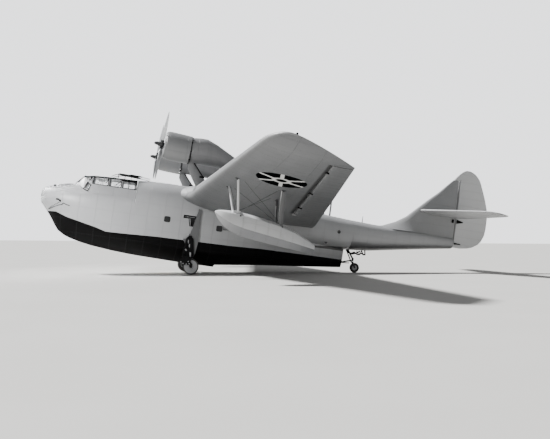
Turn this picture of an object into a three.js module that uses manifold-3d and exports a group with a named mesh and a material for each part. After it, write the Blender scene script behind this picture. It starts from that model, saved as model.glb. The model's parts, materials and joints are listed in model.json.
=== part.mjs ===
// Twin-engined patrol flying boat of the mid nineteen-thirties, parked on its own wheels.
// Millimetres. The tables below are in the hull's own datum frame: x forward, y to port, z up,
// with the origin on the ground under the main wheels. The whole group is then pitched nose up
// to the parked attitude and moved so that the box of the object stands centred on the origin.
import * as THREE from 'three';
import { mergeVertices } from 'three/addons/utils/BufferGeometryUtils.js';
import Module from 'manifold-3d';

const wasm = await Module();
wasm.setup();

// Driving dimensions
const PARKED_PITCH = 7.5;
const GAP = 0.6;
const WING = {
  rootY: 250, breakY: 2600, panelY: 2900, tipJointY: 13300, semiSpan: 14480,
  leX: 690, leY: 1100, leZ: 3430, sweep: 0.0804, dihedral: 0.087,
  rootChord: 5865, chordTaper: 0.2529, rootIncidence: 6.43, tipIncidence: 8.1,
  rootThickness: 0.18, tipThickness: 0.145, camber: 0.02,
  leRoundX: 560, teRoundX: 1760, teCornerY: 13500, teStraight: 0.6, tipRise: 90, filletX: 170, filletY: 900,
};
const AILERON = { innerY: 4560, outerY: 13230, wingCut: 0.76, nose: 0.784 };
const ENGINE = { y: 2540, x: 1910, z: 5230, tilt: 3.6, cowlRadius: 590, propRadius: 1620 };
const PROPELLER_ANGLE = { left: 162, right: 135 };
const MAIN_WHEEL = { radius: 350, width: 220, y: 1520 };
const TAIL_WHEEL = { radius: 230, width: 130, groundX: -7830 };
const FLOAT_Y = 8000;
const HINGE_X = -12470;
const ELEVATOR_HINGE_X = -12060;

// Shape helpers: every solid is a ring loft, a turned profile or a boolean of those
function solid(points, triangles) {
  const geometry = new THREE.BufferGeometry();
  geometry.setAttribute('position', new THREE.Float32BufferAttribute(points.flat(), 3));
  geometry.setIndex(triangles.flat());
  return outward(geometry);
}

function outward(geometry) {
  const p = geometry.getAttribute('position');
  const index = geometry.getIndex().array;
  let volume = 0;
  const a = new THREE.Vector3();
  const b = new THREE.Vector3();
  const c = new THREE.Vector3();
  for (let i = 0; i < index.length; i += 3) {
    a.fromBufferAttribute(p, index[i]);
    b.fromBufferAttribute(p, index[i + 1]);
    c.fromBufferAttribute(p, index[i + 2]);
    volume += a.dot(b.cross(c));
  }
  if (volume < 0) flip(geometry);
  return geometry;
}

function flip(geometry) {
  const index = geometry.getIndex().array;
  for (let i = 0; i < index.length; i += 3) {
    const keep = index[i + 1];
    index[i + 1] = index[i + 2];
    index[i + 2] = keep;
  }
}

function span(a, b) {
  return Math.hypot(a[0] - b[0], a[1] - b[1], a[2] - b[2]);
}

function loft(rings) {
  const n = rings[0].length;
  const points = rings.flat();
  const triangles = [];
  for (let r = 0; r < rings.length - 1; r += 1) {
    for (let i = 0; i < n; i += 1) {
      const j = (i + 1) % n;
      const a = r * n + i;
      const b = r * n + j;
      if (span(points[a], points[b + n]) < span(points[b], points[a + n])) {
        triangles.push([a, b, b + n], [a, b + n, a + n]);
      } else {
        triangles.push([a, b, a + n], [b, b + n, a + n]);
      }
    }
  }
  for (const [r, turn] of [[0, false], [rings.length - 1, true]]) {
    const centre = [0, 1, 2].map((k) => rings[r].reduce((sum, q) => sum + q[k], 0) / n);
    points.push(centre);
    const c = points.length - 1;
    for (let i = 0; i < n; i += 1) {
      const j = (i + 1) % n;
      triangles.push(turn ? [r * n + i, r * n + j, c] : [r * n + j, r * n + i, c]);
    }
  }
  return solid(points, triangles);
}

function box(x0, x1, y0, y1, z0, z1) {
  const ring = (x) => [[x, y0, z0], [x, y1, z0], [x, y1, z1], [x, y0, z1]];
  return loft([ring(x0), ring(x1)]);
}

function prismY(outline, y0, y1) {
  return loft([outline.map(([x, z]) => [x, y0, z]), outline.map(([x, z]) => [x, y1, z])]);
}

function basis(from, to, wide) {
  const axis = new THREE.Vector3(...to).sub(new THREE.Vector3(...from)).normalize();
  const u = new THREE.Vector3(...wide).addScaledVector(axis, -axis.dot(new THREE.Vector3(...wide))).normalize();
  return { axis, u, v: new THREE.Vector3().crossVectors(axis, u) };
}

function strut(from, to, halfWide, halfThin, wide = [1, 0, 0], sides = 14) {
  const { u, v } = basis(from, to, wide);
  const ring = (p) => Array.from({ length: sides }, (_, i) => {
    const a = (2 * Math.PI * i) / sides;
    const cu = halfWide * Math.cos(a);
    const cv = halfThin * Math.sin(a);
    return [0, 1, 2].map((k) => p[k] + u.getComponent(k) * cu + v.getComponent(k) * cv);
  });
  return loft([ring(from), ring(to)]);
}

function turned(origin, direction, profile, sides = 32) {
  const end = origin.map((q, k) => q + direction[k]);
  const helper = Math.abs(direction[2]) > 0.9 * Math.hypot(...direction) ? [1, 0, 0] : [0, 0, 1];
  const { axis, u, v } = basis(origin, end, helper);
  const rings = Array.from({ length: sides }, (_, i) => {
    const a = (2 * Math.PI * i) / sides;
    return profile.map(([along, radius]) => [0, 1, 2].map((k) => origin[k]
      + axis.getComponent(k) * along
      + (u.getComponent(k) * Math.cos(a) + v.getComponent(k) * Math.sin(a)) * radius));
  });
  return rings;
}

function disc(origin, direction, profile, sides = 32) {
  const rings = turned(origin, direction, profile, sides);
  const stations = profile.map((_, s) => rings.map((ring) => ring[s]));
  return loft(stations);
}

function hoop(origin, direction, profile, sides = 32) {
  const rings = turned(origin, direction, profile, sides);
  const n = profile.length;
  const points = rings.flat();
  const triangles = [];
  for (let r = 0; r < sides; r += 1) {
    const next = (r + 1) % sides;
    for (let i = 0; i < n; i += 1) {
      const j = (i + 1) % n;
      triangles.push([r * n + i, r * n + j, next * n + j], [r * n + i, next * n + j, next * n + i]);
    }
  }
  return solid(points, triangles);
}

function toManifold(geometry) {
  const clean = geometry.clone();
  clean.deleteAttribute('normal');
  clean.deleteAttribute('uv');
  const merged = mergeVertices(clean, 1e-3);
  return new wasm.Manifold(new wasm.Mesh({
    numProp: 3,
    vertProperties: new Float32Array(merged.getAttribute('position').array),
    triVerts: new Uint32Array(merged.getIndex().array),
  }));
}

function fromManifold(body) {
  const mesh = body.getMesh();
  const geometry = new THREE.BufferGeometry();
  geometry.setAttribute('position', new THREE.Float32BufferAttribute(mesh.vertProperties, 3));
  geometry.setIndex(Array.from(mesh.triVerts));
  return geometry;
}

function join(...parts) {
  return fromManifold(parts.map(toManifold).reduce((a, b) => a.add(b)));
}

function cut(part, ...tools) {
  return fromManifold(tools.map(toManifold).reduce((a, b) => a.subtract(b), toManifold(part)));
}

function common(a, b) {
  return fromManifold(toManifold(a).intersect(toManifold(b)));
}

function mirrored(geometry) {
  const copy = geometry.clone();
  const p = copy.getAttribute('position');
  for (let i = 0; i < p.count; i += 1) p.setY(i, -p.getY(i));
  flip(copy);
  return copy;
}

const group = new THREE.Group();
const aircraft = new THREE.Group();
group.add(aircraft);

const FINISHES = {
  lacquer: { color: 0xc9cbcc, roughness: 0.45, metalness: 0 },
  bottomPaint: { color: 0x141416, roughness: 0.5, metalness: 0 },
  glass: { color: 0x8fa0a8, roughness: 0.05, metalness: 0, transparent: true, opacity: 0.4 },
  rubber: { color: 0x1b1b1c, roughness: 0.9, metalness: 0 },
  darkMetal: { color: 0x3a3a3c, roughness: 0.5, metalness: 0.8 },
  bareMetal: { color: 0xb4b6b8, roughness: 0.35, metalness: 1 },
};
const MATERIALS = Object.fromEntries(
  Object.entries(FINISHES).map(([finish, values]) => [finish, new THREE.MeshStandardMaterial(values)]),
);

function finishOf(name) {
  if (name === 'hull_bottom') return 'bottomPaint';
  if (name === 'cockpit_glazing') return 'glass';
  if (name.includes('tyre')) return 'rubber';
  if (/^engine_(left|right)$|^tail_(bracket|fork)$/.test(name)) return 'darkMetal';
  if (name.startsWith('propeller')) return 'bareMetal';
  return 'lacquer';
}

function add(name, geometry) {
  const mesh = new THREE.Mesh(geometry, MATERIALS[finishOf(name)]);
  mesh.name = name;
  aircraft.add(mesh);
}

function addPair(name, geometry) {
  add(`${name}_left`, geometry);
  add(`${name}_right`, mirrored(geometry));
}

// Hull: a forebody down to the main step, an afterbody down to the stern post and the tail boom
// Columns: x, keel z, chine z, chine half-beam, widest z, widest half-beam, deck z
const FOREBODY = [
  [6760, 2440, 2475, 40, 2510, 70, 2590],
  [6710, 2265, 2335, 130, 2500, 270, 2790],
  [6600, 2110, 2235, 220, 2480, 440, 2915],
  [6420, 1900, 2115, 335, 2450, 610, 2990],
  [6240, 1680, 2015, 450, 2430, 735, 3035],
  [6000, 1320, 1915, 605, 2400, 865, 3090],
  [5850, 1130, 1860, 690, 2380, 925, 3120],
  [5550, 945, 1760, 830, 2360, 1030, 3185],
  [5250, 840, 1670, 940, 2340, 1105, 3240],
  [4800, 735, 1560, 1050, 2320, 1180, 3290],
  [4350, 655, 1460, 1120, 2310, 1225, 3320],
  [3450, 555, 1310, 1200, 2300, 1262, 3350],
  [2760, 505, 1215, 1235, 2300, 1270, 3370],
  [2740, 503, 1213, 1236, 2300, 1270, 3770],
  [2250, 480, 1160, 1245, 2300, 1270, 3830],
  [1410, 458, 1090, 1250, 2300, 1270, 3850],
  [590, 432, 1040, 1250, 2300, 1270, 3850],
  [-1100, 420, 1000, 1250, 2300, 1270, 3830],
];
// Columns: x, bottom z, widest z, widest half-beam, deck z
const BOOM = [
  [-1000, 1900, 2400, 1260, 3832],
  [-2000, 1915, 2440, 1255, 3800],
  [-3500, 1950, 2500, 1210, 3700],
  [-5400, 1990, 2600, 1100, 3570],
  [-7000, 2020, 2660, 970, 3450],
  [-8300, 2135, 2740, 830, 3395],
  [-9900, 2400, 2880, 650, 3370],
  [-11400, 2640, 2990, 460, 3340],
  [-12400, 2790, 3050, 300, 3300],
];
// Columns: x, keel z, chine z, chine half-beam, half-beam at the top
const AFTERBODY = [
  [-1000, 500, 1040, 1240, 1250],
  [-2200, 645, 1090, 1180, 1215],
  [-3240, 780, 1150, 1090, 1150],
  [-4400, 900, 1210, 930, 1010],
  [-5500, 1010, 1290, 700, 790],
  [-6400, 1110, 1370, 420, 500],
  [-7050, 1185, 1440, 110, 150],
];

function upperArc(widestZ, halfBeam, deckZ, steps, power) {
  return Array.from({ length: steps }, (_, i) => {
    const a = ((i + 1) / steps) * (Math.PI / 2);
    return [halfBeam * Math.cos(a) ** (2 / power), widestZ + (deckZ - widestZ) * Math.sin(a) ** (2 / power)];
  });
}

function bothSides(x, half) {
  const port = half.map(([y, z]) => [x, y, z]);
  const starboard = half.slice(1, -1).reverse().map(([y, z]) => [x, -y, z]);
  return [...port, ...starboard];
}

function forebodyRing([x, keel, chineZ, chineY, widestZ, widestY, deck], grow = 0) {
  const half = [
    [0, keel - grow],
    [chineY * 0.36, keel + (chineZ - keel) * 0.30],
    [chineY * 0.72, keel + (chineZ - keel) * 0.66],
    [chineY + grow, chineZ],
    [chineY + (widestY - chineY) * 0.55 + grow, chineZ + (widestZ - chineZ) * 0.45],
    [widestY + grow, widestZ],
    ...upperArc(widestZ, widestY + grow, deck + grow, 9, 2.7),
  ];
  return bothSides(x, half);
}

function boomRing([x, bottom, widestZ, widestY, deck], grow = 0) {
  const lower = upperArc(widestZ, widestY + grow, bottom - grow, 6, 2.6).reverse();
  const half = [...lower, [widestY + grow, widestZ], ...upperArc(widestZ, widestY + grow, deck + grow, 9, 2.7)];
  return bothSides(x, half);
}

function afterbodyRing([x, keel, chineZ, chineY, topY], grow = 0) {
  const half = [
    [0, keel - grow],
    [chineY * 0.5, keel + (chineZ - keel) * 0.46 - grow],
    [chineY + grow, chineZ - grow * 0.5],
    [(chineY + topY) / 2 + 10 + grow, 1700],
    [topY + grow, 2100],
    [0, 2300],
  ];
  return bothSides(x - grow, half);
}

const forebody = loft(FOREBODY.map((row) => forebodyRing(row)));
const boomWhole = loft(BOOM.map((row) => boomRing(row)));
const afterbody = loft(AFTERBODY.map((row) => afterbodyRing(row)));
const hullWhole = join(forebody, boomWhole, afterbody);
const hullCutter = join(
  loft(FOREBODY.map((row) => forebodyRing([row[0] < -1000 ? row[0] - 1 : row[0], ...row.slice(1)], 2 * GAP))),
  loft(BOOM.map((row) => boomRing(row, 2 * GAP))),
);
const deckCutter = join(
  loft(FOREBODY.map((row) => forebodyRing(row, 9))),
  loft(BOOM.map((row) => boomRing(row, 9))),
);
const afterbodyCutter = loft(AFTERBODY.map((row) => afterbodyRing(row, GAP)));

// The dark bottom and the light topsides meet along this line, seen from the side
const PAINT_LINE = [
  [7000, 1880], [6400, 1890], [5980, 1910], [5500, 1740], [4850, 1600], [4240, 1470], [3800, 1340],
  [3120, 1360], [1600, 1420], [-130, 1440], [-1660, 1460], [-2910, 1510], [-7300, 1545],
];
const below = prismY([...PAINT_LINE.map(([x, z]) => [x, z - GAP / 2]), [-7300, 100], [7000, 100]], -2000, 2000);
const above = prismY([...PAINT_LINE.map(([x, z]) => [x, z + GAP / 2]), [-7300, 5000], [7000, 5000]], -2000, 2000);

// Cockpit: a well in the deck, the two gun stations and the recess of each main leg
const cockpitWell = box(3050, 5000, -880, 880, 2150, 3500);
const bowWell = disc([5780, 0, 2600], [0, 0, 1], [[0, 290], [800, 290]], 28);
const gunWell = box(-6560, -5860, -430, 430, 2750, 3800);
const legRecess = box(40, 620, 1060, 1400, 1960, 2600);
const TAIL_JOINT_X = -7150;

const topsides = cut(
  common(hullWhole, above),
  cockpitWell,
  bowWell,
  gunWell,
  legRecess,
  mirrored(legRecess),
);
add('hull_topsides', cut(topsides, box(-14000, TAIL_JOINT_X, -2000, 2000, 0, 6000)));
add('hull_bottom', common(hullWhole, below));
const boomAft = common(boomWhole, box(-14000, TAIL_JOINT_X - GAP, -2000, 2000, 0, 6000));
add('tail_boom', boomAft);

// Cockpit enclosure: a framed shell with its windows cut, and one liner of glazing under it
// Columns: x, sill half-width, sill z, roof half-width, roof z
const CANOPY = [
  [5420, 300, 2900, 230, 3225],
  [5330, 620, 2900, 420, 3290],
  [4990, 1000, 2900, 650, 3605],
  [4620, 1110, 2900, 750, 3665],
  [4000, 1150, 2900, 790, 3700],
  [2761, 1170, 2900, 790, 3735],
];
const ROOF_EDGE = 0.07;

function canopyRing([x, sillY, sillZ, roofY, roofZ], inset) {
  const sy = sillY - inset;
  const ry = roofY - inset * 0.8;
  const rz = roofZ - inset;
  return bothSides(x, [
    [0, sillZ],
    [sy, sillZ],
    [ry, rz - ROOF_EDGE * (rz - sillZ)],
    [ry * 0.9, rz],
    [0, rz + 12],
  ]);
}

function canopyBody(inset, through) {
  const [rearX, ...rear] = CANOPY[CANOPY.length - 1];
  const rings = CANOPY.slice(0, -1).map(([x, ...rest]) => canopyRing([x - inset * 1.5, ...rest], inset));
  rings.push(canopyRing([rearX, ...rear], inset));
  if (through) rings.push(canopyRing([rearX - 60, ...rear], inset));
  return loft(rings);
}

function canopyShell(outer, inner) {
  return cut(canopyBody(outer, false), canopyBody(inner, true));
}
// Columns: front x, rear x, z of the sill and of the top edge
const SIDE_WINDOWS = [[4630, 3990, 3300, 3610], [3920, 3440, 3300, 3625], [3370, 2850, 3300, 3635]];
const sideCuts = SIDE_WINDOWS.map(([front, back, sill, top]) => prismY(
  [[back, sill], [front, sill], [front - 30, top], [back, top]],
  -1300,
  1300,
));
const quarterCut = prismY([[4985, 3020], [4780, 2950], [4690, 3245], [4850, 3335]], -1300, 1300);
const windscreenCuts = [1, -1].map((side) => {
  const inner = side * 45;
  const outer = side * 560;
  const low = [5300, 3290];
  const high = [5030, 3570];
  const ring = (dx) => [
    [low[0] + dx, inner, low[1]], [low[0] + dx, outer, low[1]],
    [high[0] + dx, outer, high[1]], [high[0] + dx, inner, high[1]],
  ];
  return loft([ring(-250), ring(250)]);
});
const roofCuts = [[4600, 4150], [4000, 3500]].map(([front, back]) => join(
  box(back, front, 80, 560, 3500, 3900),
  box(back, front, -560, -80, 3500, 3900),
));
const enclosureRaw = canopyShell(0, 40);
add('cockpit_enclosure', cut(
  enclosureRaw,
  hullCutter,
  ...sideCuts,
  quarterCut,
  ...windscreenCuts,
  ...roofCuts,
));
add('cockpit_glazing', cut(canopyShell(41, 51), hullCutter));

// Deck hatches: the bow gunner's lid and the sliding hood of the rear gunner
const hatchLid = disc([5770, 0, 3003], [0.212, 0, 1], [[0, 330], [150, 330], [172, 250]], 28);
add('bow_hatch', cut(hatchLid, deckCutter));
const hoodBlock = prismY([[-5840, 3400], [-5250, 3400], [-5300, 3640], [-5840, 3640]], -400, 400);
add('gunner_hood', cut(hoodBlock, deckCutter));

// Wing: airfoil rings at each station, one chord plane, rounded tip
function thicknessAt(t) {
  return 5 * (0.2969 * Math.sqrt(t) - 0.126 * t - 0.3516 * t ** 2 + 0.2843 * t ** 3 - 0.1036 * t ** 4);
}

function camberAt(t, m, p) {
  return t < p ? (m / p ** 2) * (2 * p * t - t * t) : (m / (1 - p) ** 2) * (1 - 2 * p + 2 * p * t - t * t);
}
const CHORD_STEPS = [0, 0.006, 0.022, 0.05, 0.10, 0.17, 0.26, 0.37, 0.50, 0.63, 0.75, 0.86, 0.94, 1];

function wingStation(y) {
  const s = Math.min(1, Math.max(0, (y - WING.tipJointY) / (WING.semiSpan - WING.tipJointY)));
  const round = 1 - Math.sqrt(1 - s * s);
  const c = Math.max(0, (y - WING.teCornerY) / (WING.semiSpan - WING.teCornerY));
  const raked = WING.teStraight * c + (1 - WING.teStraight) * (1 - Math.sqrt(1 - c * c));
  const fillet = WING.filletX * Math.min(1, Math.max(0, 1 - (y - WING.leY) / WING.filletY)) ** 2;
  const le0 = WING.leX - WING.sweep * (y - WING.leY);
  const chord0 = WING.rootChord - WING.chordTaper * (y - WING.leY);
  const le = le0 + fillet - WING.leRoundX * round;
  const te = le0 - chord0 + WING.teRoundX * raked;
  const outboard = Math.max(0, y - WING.breakY);
  const z0 = WING.leZ + WING.dihedral * outboard + WING.tipRise * s * s;
  const blend = outboard / (WING.semiSpan - WING.breakY);
  const incidence = WING.rootIncidence + (WING.tipIncidence - WING.rootIncidence) * blend;
  const thickness = WING.rootThickness + (WING.tipThickness - WING.rootThickness) * blend;
  return { le0, z0, le, chord: le - te, thickness, slope: Math.tan(THREE.MathUtils.degToRad(incidence)) };
}

function wingPoint(y, t, side, grow = 0) {
  const { le0, z0, le, chord, thickness, slope } = wingStation(y);
  const x = le - t * chord;
  const plane = z0 - (le0 - x) * slope;
  const body = thicknessAt(t) * thickness * chord + 2.5 + grow;
  return [x, y, plane + camberAt(t, WING.camber, 0.3) * chord + side * body];
}

// The same surface at a fixed fraction of the straight, unrounded planform
function panelPoint(y, fraction, side) {
  const { le0, le, chord } = wingStation(y);
  const chord0 = WING.rootChord - WING.chordTaper * (y - WING.leY);
  return wingPoint(y, Math.min(1, (le - (le0 - fraction * chord0)) / chord), side);
}

function wingRing(y, grow = 0) {
  const upper = CHORD_STEPS.map((t) => wingPoint(y, t, 1, grow));
  const lower = [...CHORD_STEPS].reverse().map((t) => wingPoint(y, t, -1, grow));
  return [...upper, ...lower];
}

function wingLoft(stations, grow = 0) {
  return loft(stations.map((y) => wingRing(y, grow)));
}
const TIP_STATIONS = [WING.teCornerY, 13600, 13770, 13970, 14140, 14280, 14380, 14445, 14475];
const ROOT_STATIONS = [1300, 1500, 1720, 2000];
addPair('wing_root', cut(
  wingLoft([WING.rootY, WING.leY, ...ROOT_STATIONS, WING.breakY, WING.panelY]),
  hullCutter,
));
const panel = wingLoft([WING.panelY + GAP, 5000, 7500, 10300, WING.tipJointY]);
const bayRing = (y) => {
  const front = panelPoint(y, AILERON.wingCut, 0);
  return [
    [front[0], y, front[2] - 600], [front[0], y, front[2] + 600],
    [front[0] - 2500, y, front[2] + 600], [front[0] - 2500, y, front[2] - 600],
  ];
};
const aileronBay = loft([bayRing(AILERON.innerY), bayRing(AILERON.outerY)]);
addPair('wing_panel', cut(panel, aileronBay));
addPair('wing_tip', wingLoft([WING.tipJointY + GAP, ...TIP_STATIONS]));

// Aileron: straight-hinged, with a round nose ahead of the hinge
function aileronRing(y) {
  const steps = [AILERON.nose + 0.02, 0.84, 0.89, 0.945, 1];
  const nose = panelPoint(y, AILERON.nose, 0);
  const up = panelPoint(y, AILERON.nose + 0.008, 1);
  const low = panelPoint(y, AILERON.nose + 0.008, -1);
  const rise = (up[2] - low[2]) / 2;
  const mid = (up[2] + low[2]) / 2;
  return [
    [nose[0], y, mid],
    [nose[0] - 6, y, mid + rise * 0.5],
    [nose[0] - 22, y, mid + rise * 0.82],
    ...steps.map((t) => panelPoint(y, t, 1)),
    ...[...steps].reverse().map((t) => panelPoint(y, t, -1)),
    [nose[0] - 22, y, mid - rise * 0.82],
    [nose[0] - 6, y, mid - rise * 0.5],
  ];
}
const AILERON_STATIONS = [AILERON.innerY + 15, 7500, 10300, AILERON.outerY - 15];
addPair('aileron', loft(AILERON_STATIONS.map(aileronRing)));

// Engines: nacelle on one broad pylon and a rear pair of struts, ring cowl, radial engine, propeller
const tilt = THREE.MathUtils.degToRad(ENGINE.tilt);
const thrust = [Math.cos(tilt), 0, Math.sin(tilt)];
const along = (d) => [ENGINE.x + thrust[0] * d, ENGINE.y, ENGINE.z + thrust[2] * d];
const R = ENGINE.cowlRadius;
addPair('engine_cowl', hoop(along(0), thrust, [
  [-15, 430], [0, 455], [8, 500], [-20, 548], [-90, R - 12], [-220, R], [-640, R], [-1060, R - 8],
  [-1060, R - 16], [-640, R - 14], [-230, R - 16], [-110, 545], [-50, 500], [-35, 450],
], 32));

// Columns: x, top z, bottom z, half-width
const NACELLE = [
  [800, 5700, 4655, 515],
  [450, 5735, 4640, 530],
  [170, 5735, 4630, 530],
  [-250, 5570, 4615, 490],
  [-700, 5340, 4600, 420],
  [-1200, 5080, 4590, 310],
  [-1700, 4830, 4580, 180],
  [-2150, 4640, 4560, 45],
];
const nacelleRing = ([x, top, bottom, half]) => Array.from({ length: 28 }, (_, i) => {
  const a = (2 * Math.PI * i) / 28;
  const power = 2 / 2.25;
  const c = Math.sign(Math.cos(a)) * Math.abs(Math.cos(a)) ** power;
  const s = Math.sign(Math.sin(a)) * Math.abs(Math.sin(a)) ** power;
  return [x, ENGINE.y + half * c, (top + bottom) / 2 + ((top - bottom) / 2) * s];
});
const nacelle = loft(NACELLE.map(nacelleRing));
const nacelleCutter = loft(NACELLE.map(([x, t, b, h]) => nacelleRing([x, t + GAP, b - GAP, h + GAP])));
addPair('nacelle', nacelle);

const wingCutter = wingLoft([200, WING.leY, ...ROOT_STATIONS, WING.breakY, WING.panelY, 5000, 7500, 10300], GAP);
// Columns: z, leading edge x, trailing edge x, half thickness
const PYLON = [
  [4720, 838, 590, 60],
  [4560, 838, 470, 60],
  [4410, 838, 350, 58],
  [4100, 655, 110, 55],
  [3620, 350, -270, 52],
];
const pylonRing = ([z, front, back, half]) => Array.from({ length: 16 }, (_, i) => {
  const a = (2 * Math.PI * i) / 16;
  const blunt = Math.cos(a) > 0 ? 1 : 1 - 0.35 * Math.cos(a) ** 2;
  return [(front + back) / 2 + ((front - back) / 2) * Math.cos(a), ENGINE.y + half * Math.sin(a) * blunt, z];
});
addPair('nacelle_pylon', cut(loft(PYLON.map(pylonRing)), nacelleCutter, wingCutter));
const rearStruts = join(
  strut([-800, ENGINE.y, 4640], [-1500, ENGINE.y + 620, 3700], 75, 28),
  strut([-800, ENGINE.y, 4640], [-1500, ENGINE.y - 620, 3700], 75, 28),
  box(-900, -700, ENGINE.y - 90, ENGINE.y + 90, 4560, 4640),
);
addPair('nacelle_rear_struts', cut(rearStruts, nacelleCutter, wingCutter));

// The radial engine hangs on a mount drum that carries the cowl on spokes
const crankcase = disc(along(0), thrust, [
  [-1090, 300], [-1000, 300], [-900, 250], [-760, 250], [-740, 290], [-330, 290], [-300, 240], [-200, 200], [-60, 120], [20, 95],
], 20);
const cylinders = [];
for (let k = 0; k < 14; k += 1) {
  const a = (2 * Math.PI * k) / 14 + Math.PI / 14;
  const radial = [-Math.sin(tilt) * Math.cos(a), Math.sin(a), Math.cos(tilt) * Math.cos(a)];
  const base = along(k % 2 === 0 ? -400 : -620);
  cylinders.push(disc(base, radial, [[200, 62], [300, 64], [325, 86], [500, 86], [552, 46]], 8));
}
const cowlSpokes = [];
for (let k = 0; k < 7; k += 1) {
  const a = (2 * Math.PI * (k + 0.25)) / 7;
  const radial = [-Math.sin(tilt) * Math.cos(a), Math.sin(a), Math.cos(tilt) * Math.cos(a)];
  const base = along(-860);
  const foot = base.map((q, i) => q + radial[i] * 150);
  const head = base.map((q, i) => q + radial[i] * (R - 24));
  cowlSpokes.push(strut(foot, head, 14, 14, thrust, 6));
}
addPair('engine', cut(join(crankcase, ...cylinders, ...cowlSpokes), nacelleCutter));

function bladeRing(hub, angle, [radius, half, thin, twist]) {
  const tw = THREE.MathUtils.degToRad(twist);
  const out = [-Math.sin(tilt) * Math.cos(angle), Math.sin(angle), Math.cos(tilt) * Math.cos(angle)];
  const side = new THREE.Vector3().crossVectors(new THREE.Vector3(...thrust), new THREE.Vector3(...out));
  const wide = [0, 1, 2].map((k) => side.getComponent(k) * Math.cos(tw) + thrust[k] * Math.sin(tw));
  const normal = [0, 1, 2].map((k) => -side.getComponent(k) * Math.sin(tw) + thrust[k] * Math.cos(tw));
  return Array.from({ length: 8 }, (_, i) => {
    const a = (2 * Math.PI * i) / 8;
    return [0, 1, 2].map((k) => hub[k] + out[k] * radius + wide[k] * half * Math.cos(a) + normal[k] * thin * Math.sin(a));
  });
}
// Columns: radius, half-chord, half-thickness, twist in degrees
const BLADE = [
  [70, 50, 50, 60], [230, 52, 48, 58], [360, 80, 30, 52], [600, 105, 19, 42], [900, 110, 13, 33],
  [1200, 98, 9, 27], [1430, 74, 7, 23], [1560, 45, 5, 21], [ENGINE.propRadius, 12, 4, 20],
];
const HUB = [[26, 88], [60, 110], [160, 110], [210, 90], [330, 78], [400, 60], [440, 25]];
for (const [name, side] of [['left', 1], ['right', -1]]) {
  const place = (d) => [along(d)[0], side * ENGINE.y, along(d)[2]];
  const blades = [0, 120, 240].map((turn) => loft(BLADE.map(
    (row) => bladeRing(place(110), THREE.MathUtils.degToRad(PROPELLER_ANGLE[name] + turn), row),
  )));
  add(`propeller_${name}`, join(disc(place(0), thrust, HUB, 24), ...blades));
}

// Wing-tip floats on two pairs of struts
// Columns: x, keel z, chine z, half-beam, deck z
const FLOAT = [
  [60, 2470, 2490, 30, 2540],
  [-60, 2290, 2400, 140, 2585],
  [-250, 2090, 2290, 250, 2610],
  [-550, 1910, 2160, 350, 2620],
  [-950, 1780, 2060, 410, 2600],
  [-1500, 1710, 1980, 430, 2540],
  [-2150, 1640, 1890, 420, 2430],
  [-2800, 1575, 1800, 360, 2230],
  [-3300, 1530, 1720, 270, 1990],
  [-3560, 1515, 1680, 210, 1840],
];
const floatRing = ([x, keel, chineZ, half, deck], grow = 0) => [
  [x, FLOAT_Y, keel - grow],
  [x, FLOAT_Y + half + grow, chineZ],
  [x, FLOAT_Y + half * 0.98 + grow, chineZ + (deck - chineZ) * 0.4],
  [x, FLOAT_Y + half * 0.80 + grow, chineZ + (deck - chineZ) * 0.78],
  [x, FLOAT_Y + half * 0.42, deck - (deck - chineZ) * 0.04 + grow],
  [x, FLOAT_Y, deck + grow],
  [x, FLOAT_Y - half * 0.42, deck - (deck - chineZ) * 0.04 + grow],
  [x, FLOAT_Y - half * 0.80 - grow, chineZ + (deck - chineZ) * 0.78],
  [x, FLOAT_Y - half * 0.98 - grow, chineZ + (deck - chineZ) * 0.4],
  [x, FLOAT_Y - half - grow, chineZ],
];
addPair('float', loft(FLOAT.map((row) => floatRing(row))));
const floatCutter = loft(FLOAT.map((row) => floatRing(row, GAP)));
// Columns: name, deck x, deck z, inner foot x, inner top x, y, z and half-width, outer foot and top the same
const FLOAT_STRUTS = [
  { name: 'front', deck: [-660, 2618], inner: [-610, -380, 7150, 3640, 40], outer: [-720, -440, 8800, 3860, 36] },
  { name: 'rear', deck: [-2200, 2420], inner: [-2150, -2240, 6950, 3480, 45], outer: [-2240, -2060, 8850, 3660, 82] },
];
for (const { name, deck: [deckX, deckZ], inner, outer } of FLOAT_STRUTS) {
  const tubes = [[inner, -170], [outer, 170]].map(([[footX, topX, topY, topZ, half], side]) => strut(
    [footX, FLOAT_Y + side, deckZ - 120],
    [topX, topY, topZ],
    half,
    24,
  ));
  const plate = box(deckX - 130, deckX + 130, FLOAT_Y - 215, FLOAT_Y + 215, deckZ - 60, deckZ + 20);
  addPair(`float_struts_${name}`, cut(join(...tubes, plate), floatCutter, wingCutter));
}

// Fin and rudder share one symmetric section at each height
// Columns: z, leading edge x, trailing edge x
const FIN = [
  [3300, -8300, -13950],
  [3430, -8850, -14020],
  [3690, -9460, -14110],
  [4020, -9970, -14150],
  [4490, -10460, -14150],
  [4960, -10960, -14080],
  [5410, -11470, -13930],
  [5800, -11840, -13770],
  [6120, -12160, -13640],
];
const HORN = [
  [6135, -12175, -13630],
  [6300, -12310, -13540],
  [6440, -12440, -13420],
  [6560, -12570, -13280],
  [6640, -12690, -13120],
  [6680, -12800, -12990],
];
const FIN_RATIO = 0.085;
const FIN_ROOT = { z: 3300, height: 1000, frontX: -8300, frontHalf: 520, rearX: -12450, rearHalf: 60 };

// The fin widens at its foot and flows into the deck of the boom
function rootFlare(z, t, x) {
  const up = Math.min(1, Math.max(0, (z - FIN_ROOT.z) / FIN_ROOT.height));
  const back = (FIN_ROOT.frontX - x) / (FIN_ROOT.frontX - FIN_ROOT.rearX);
  const half = FIN_ROOT.frontHalf + (FIN_ROOT.rearHalf - FIN_ROOT.frontHalf) * back;
  return half * (1 - up) ** 2.6 * Math.sqrt(Math.min(1, 5 * t));
}

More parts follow.
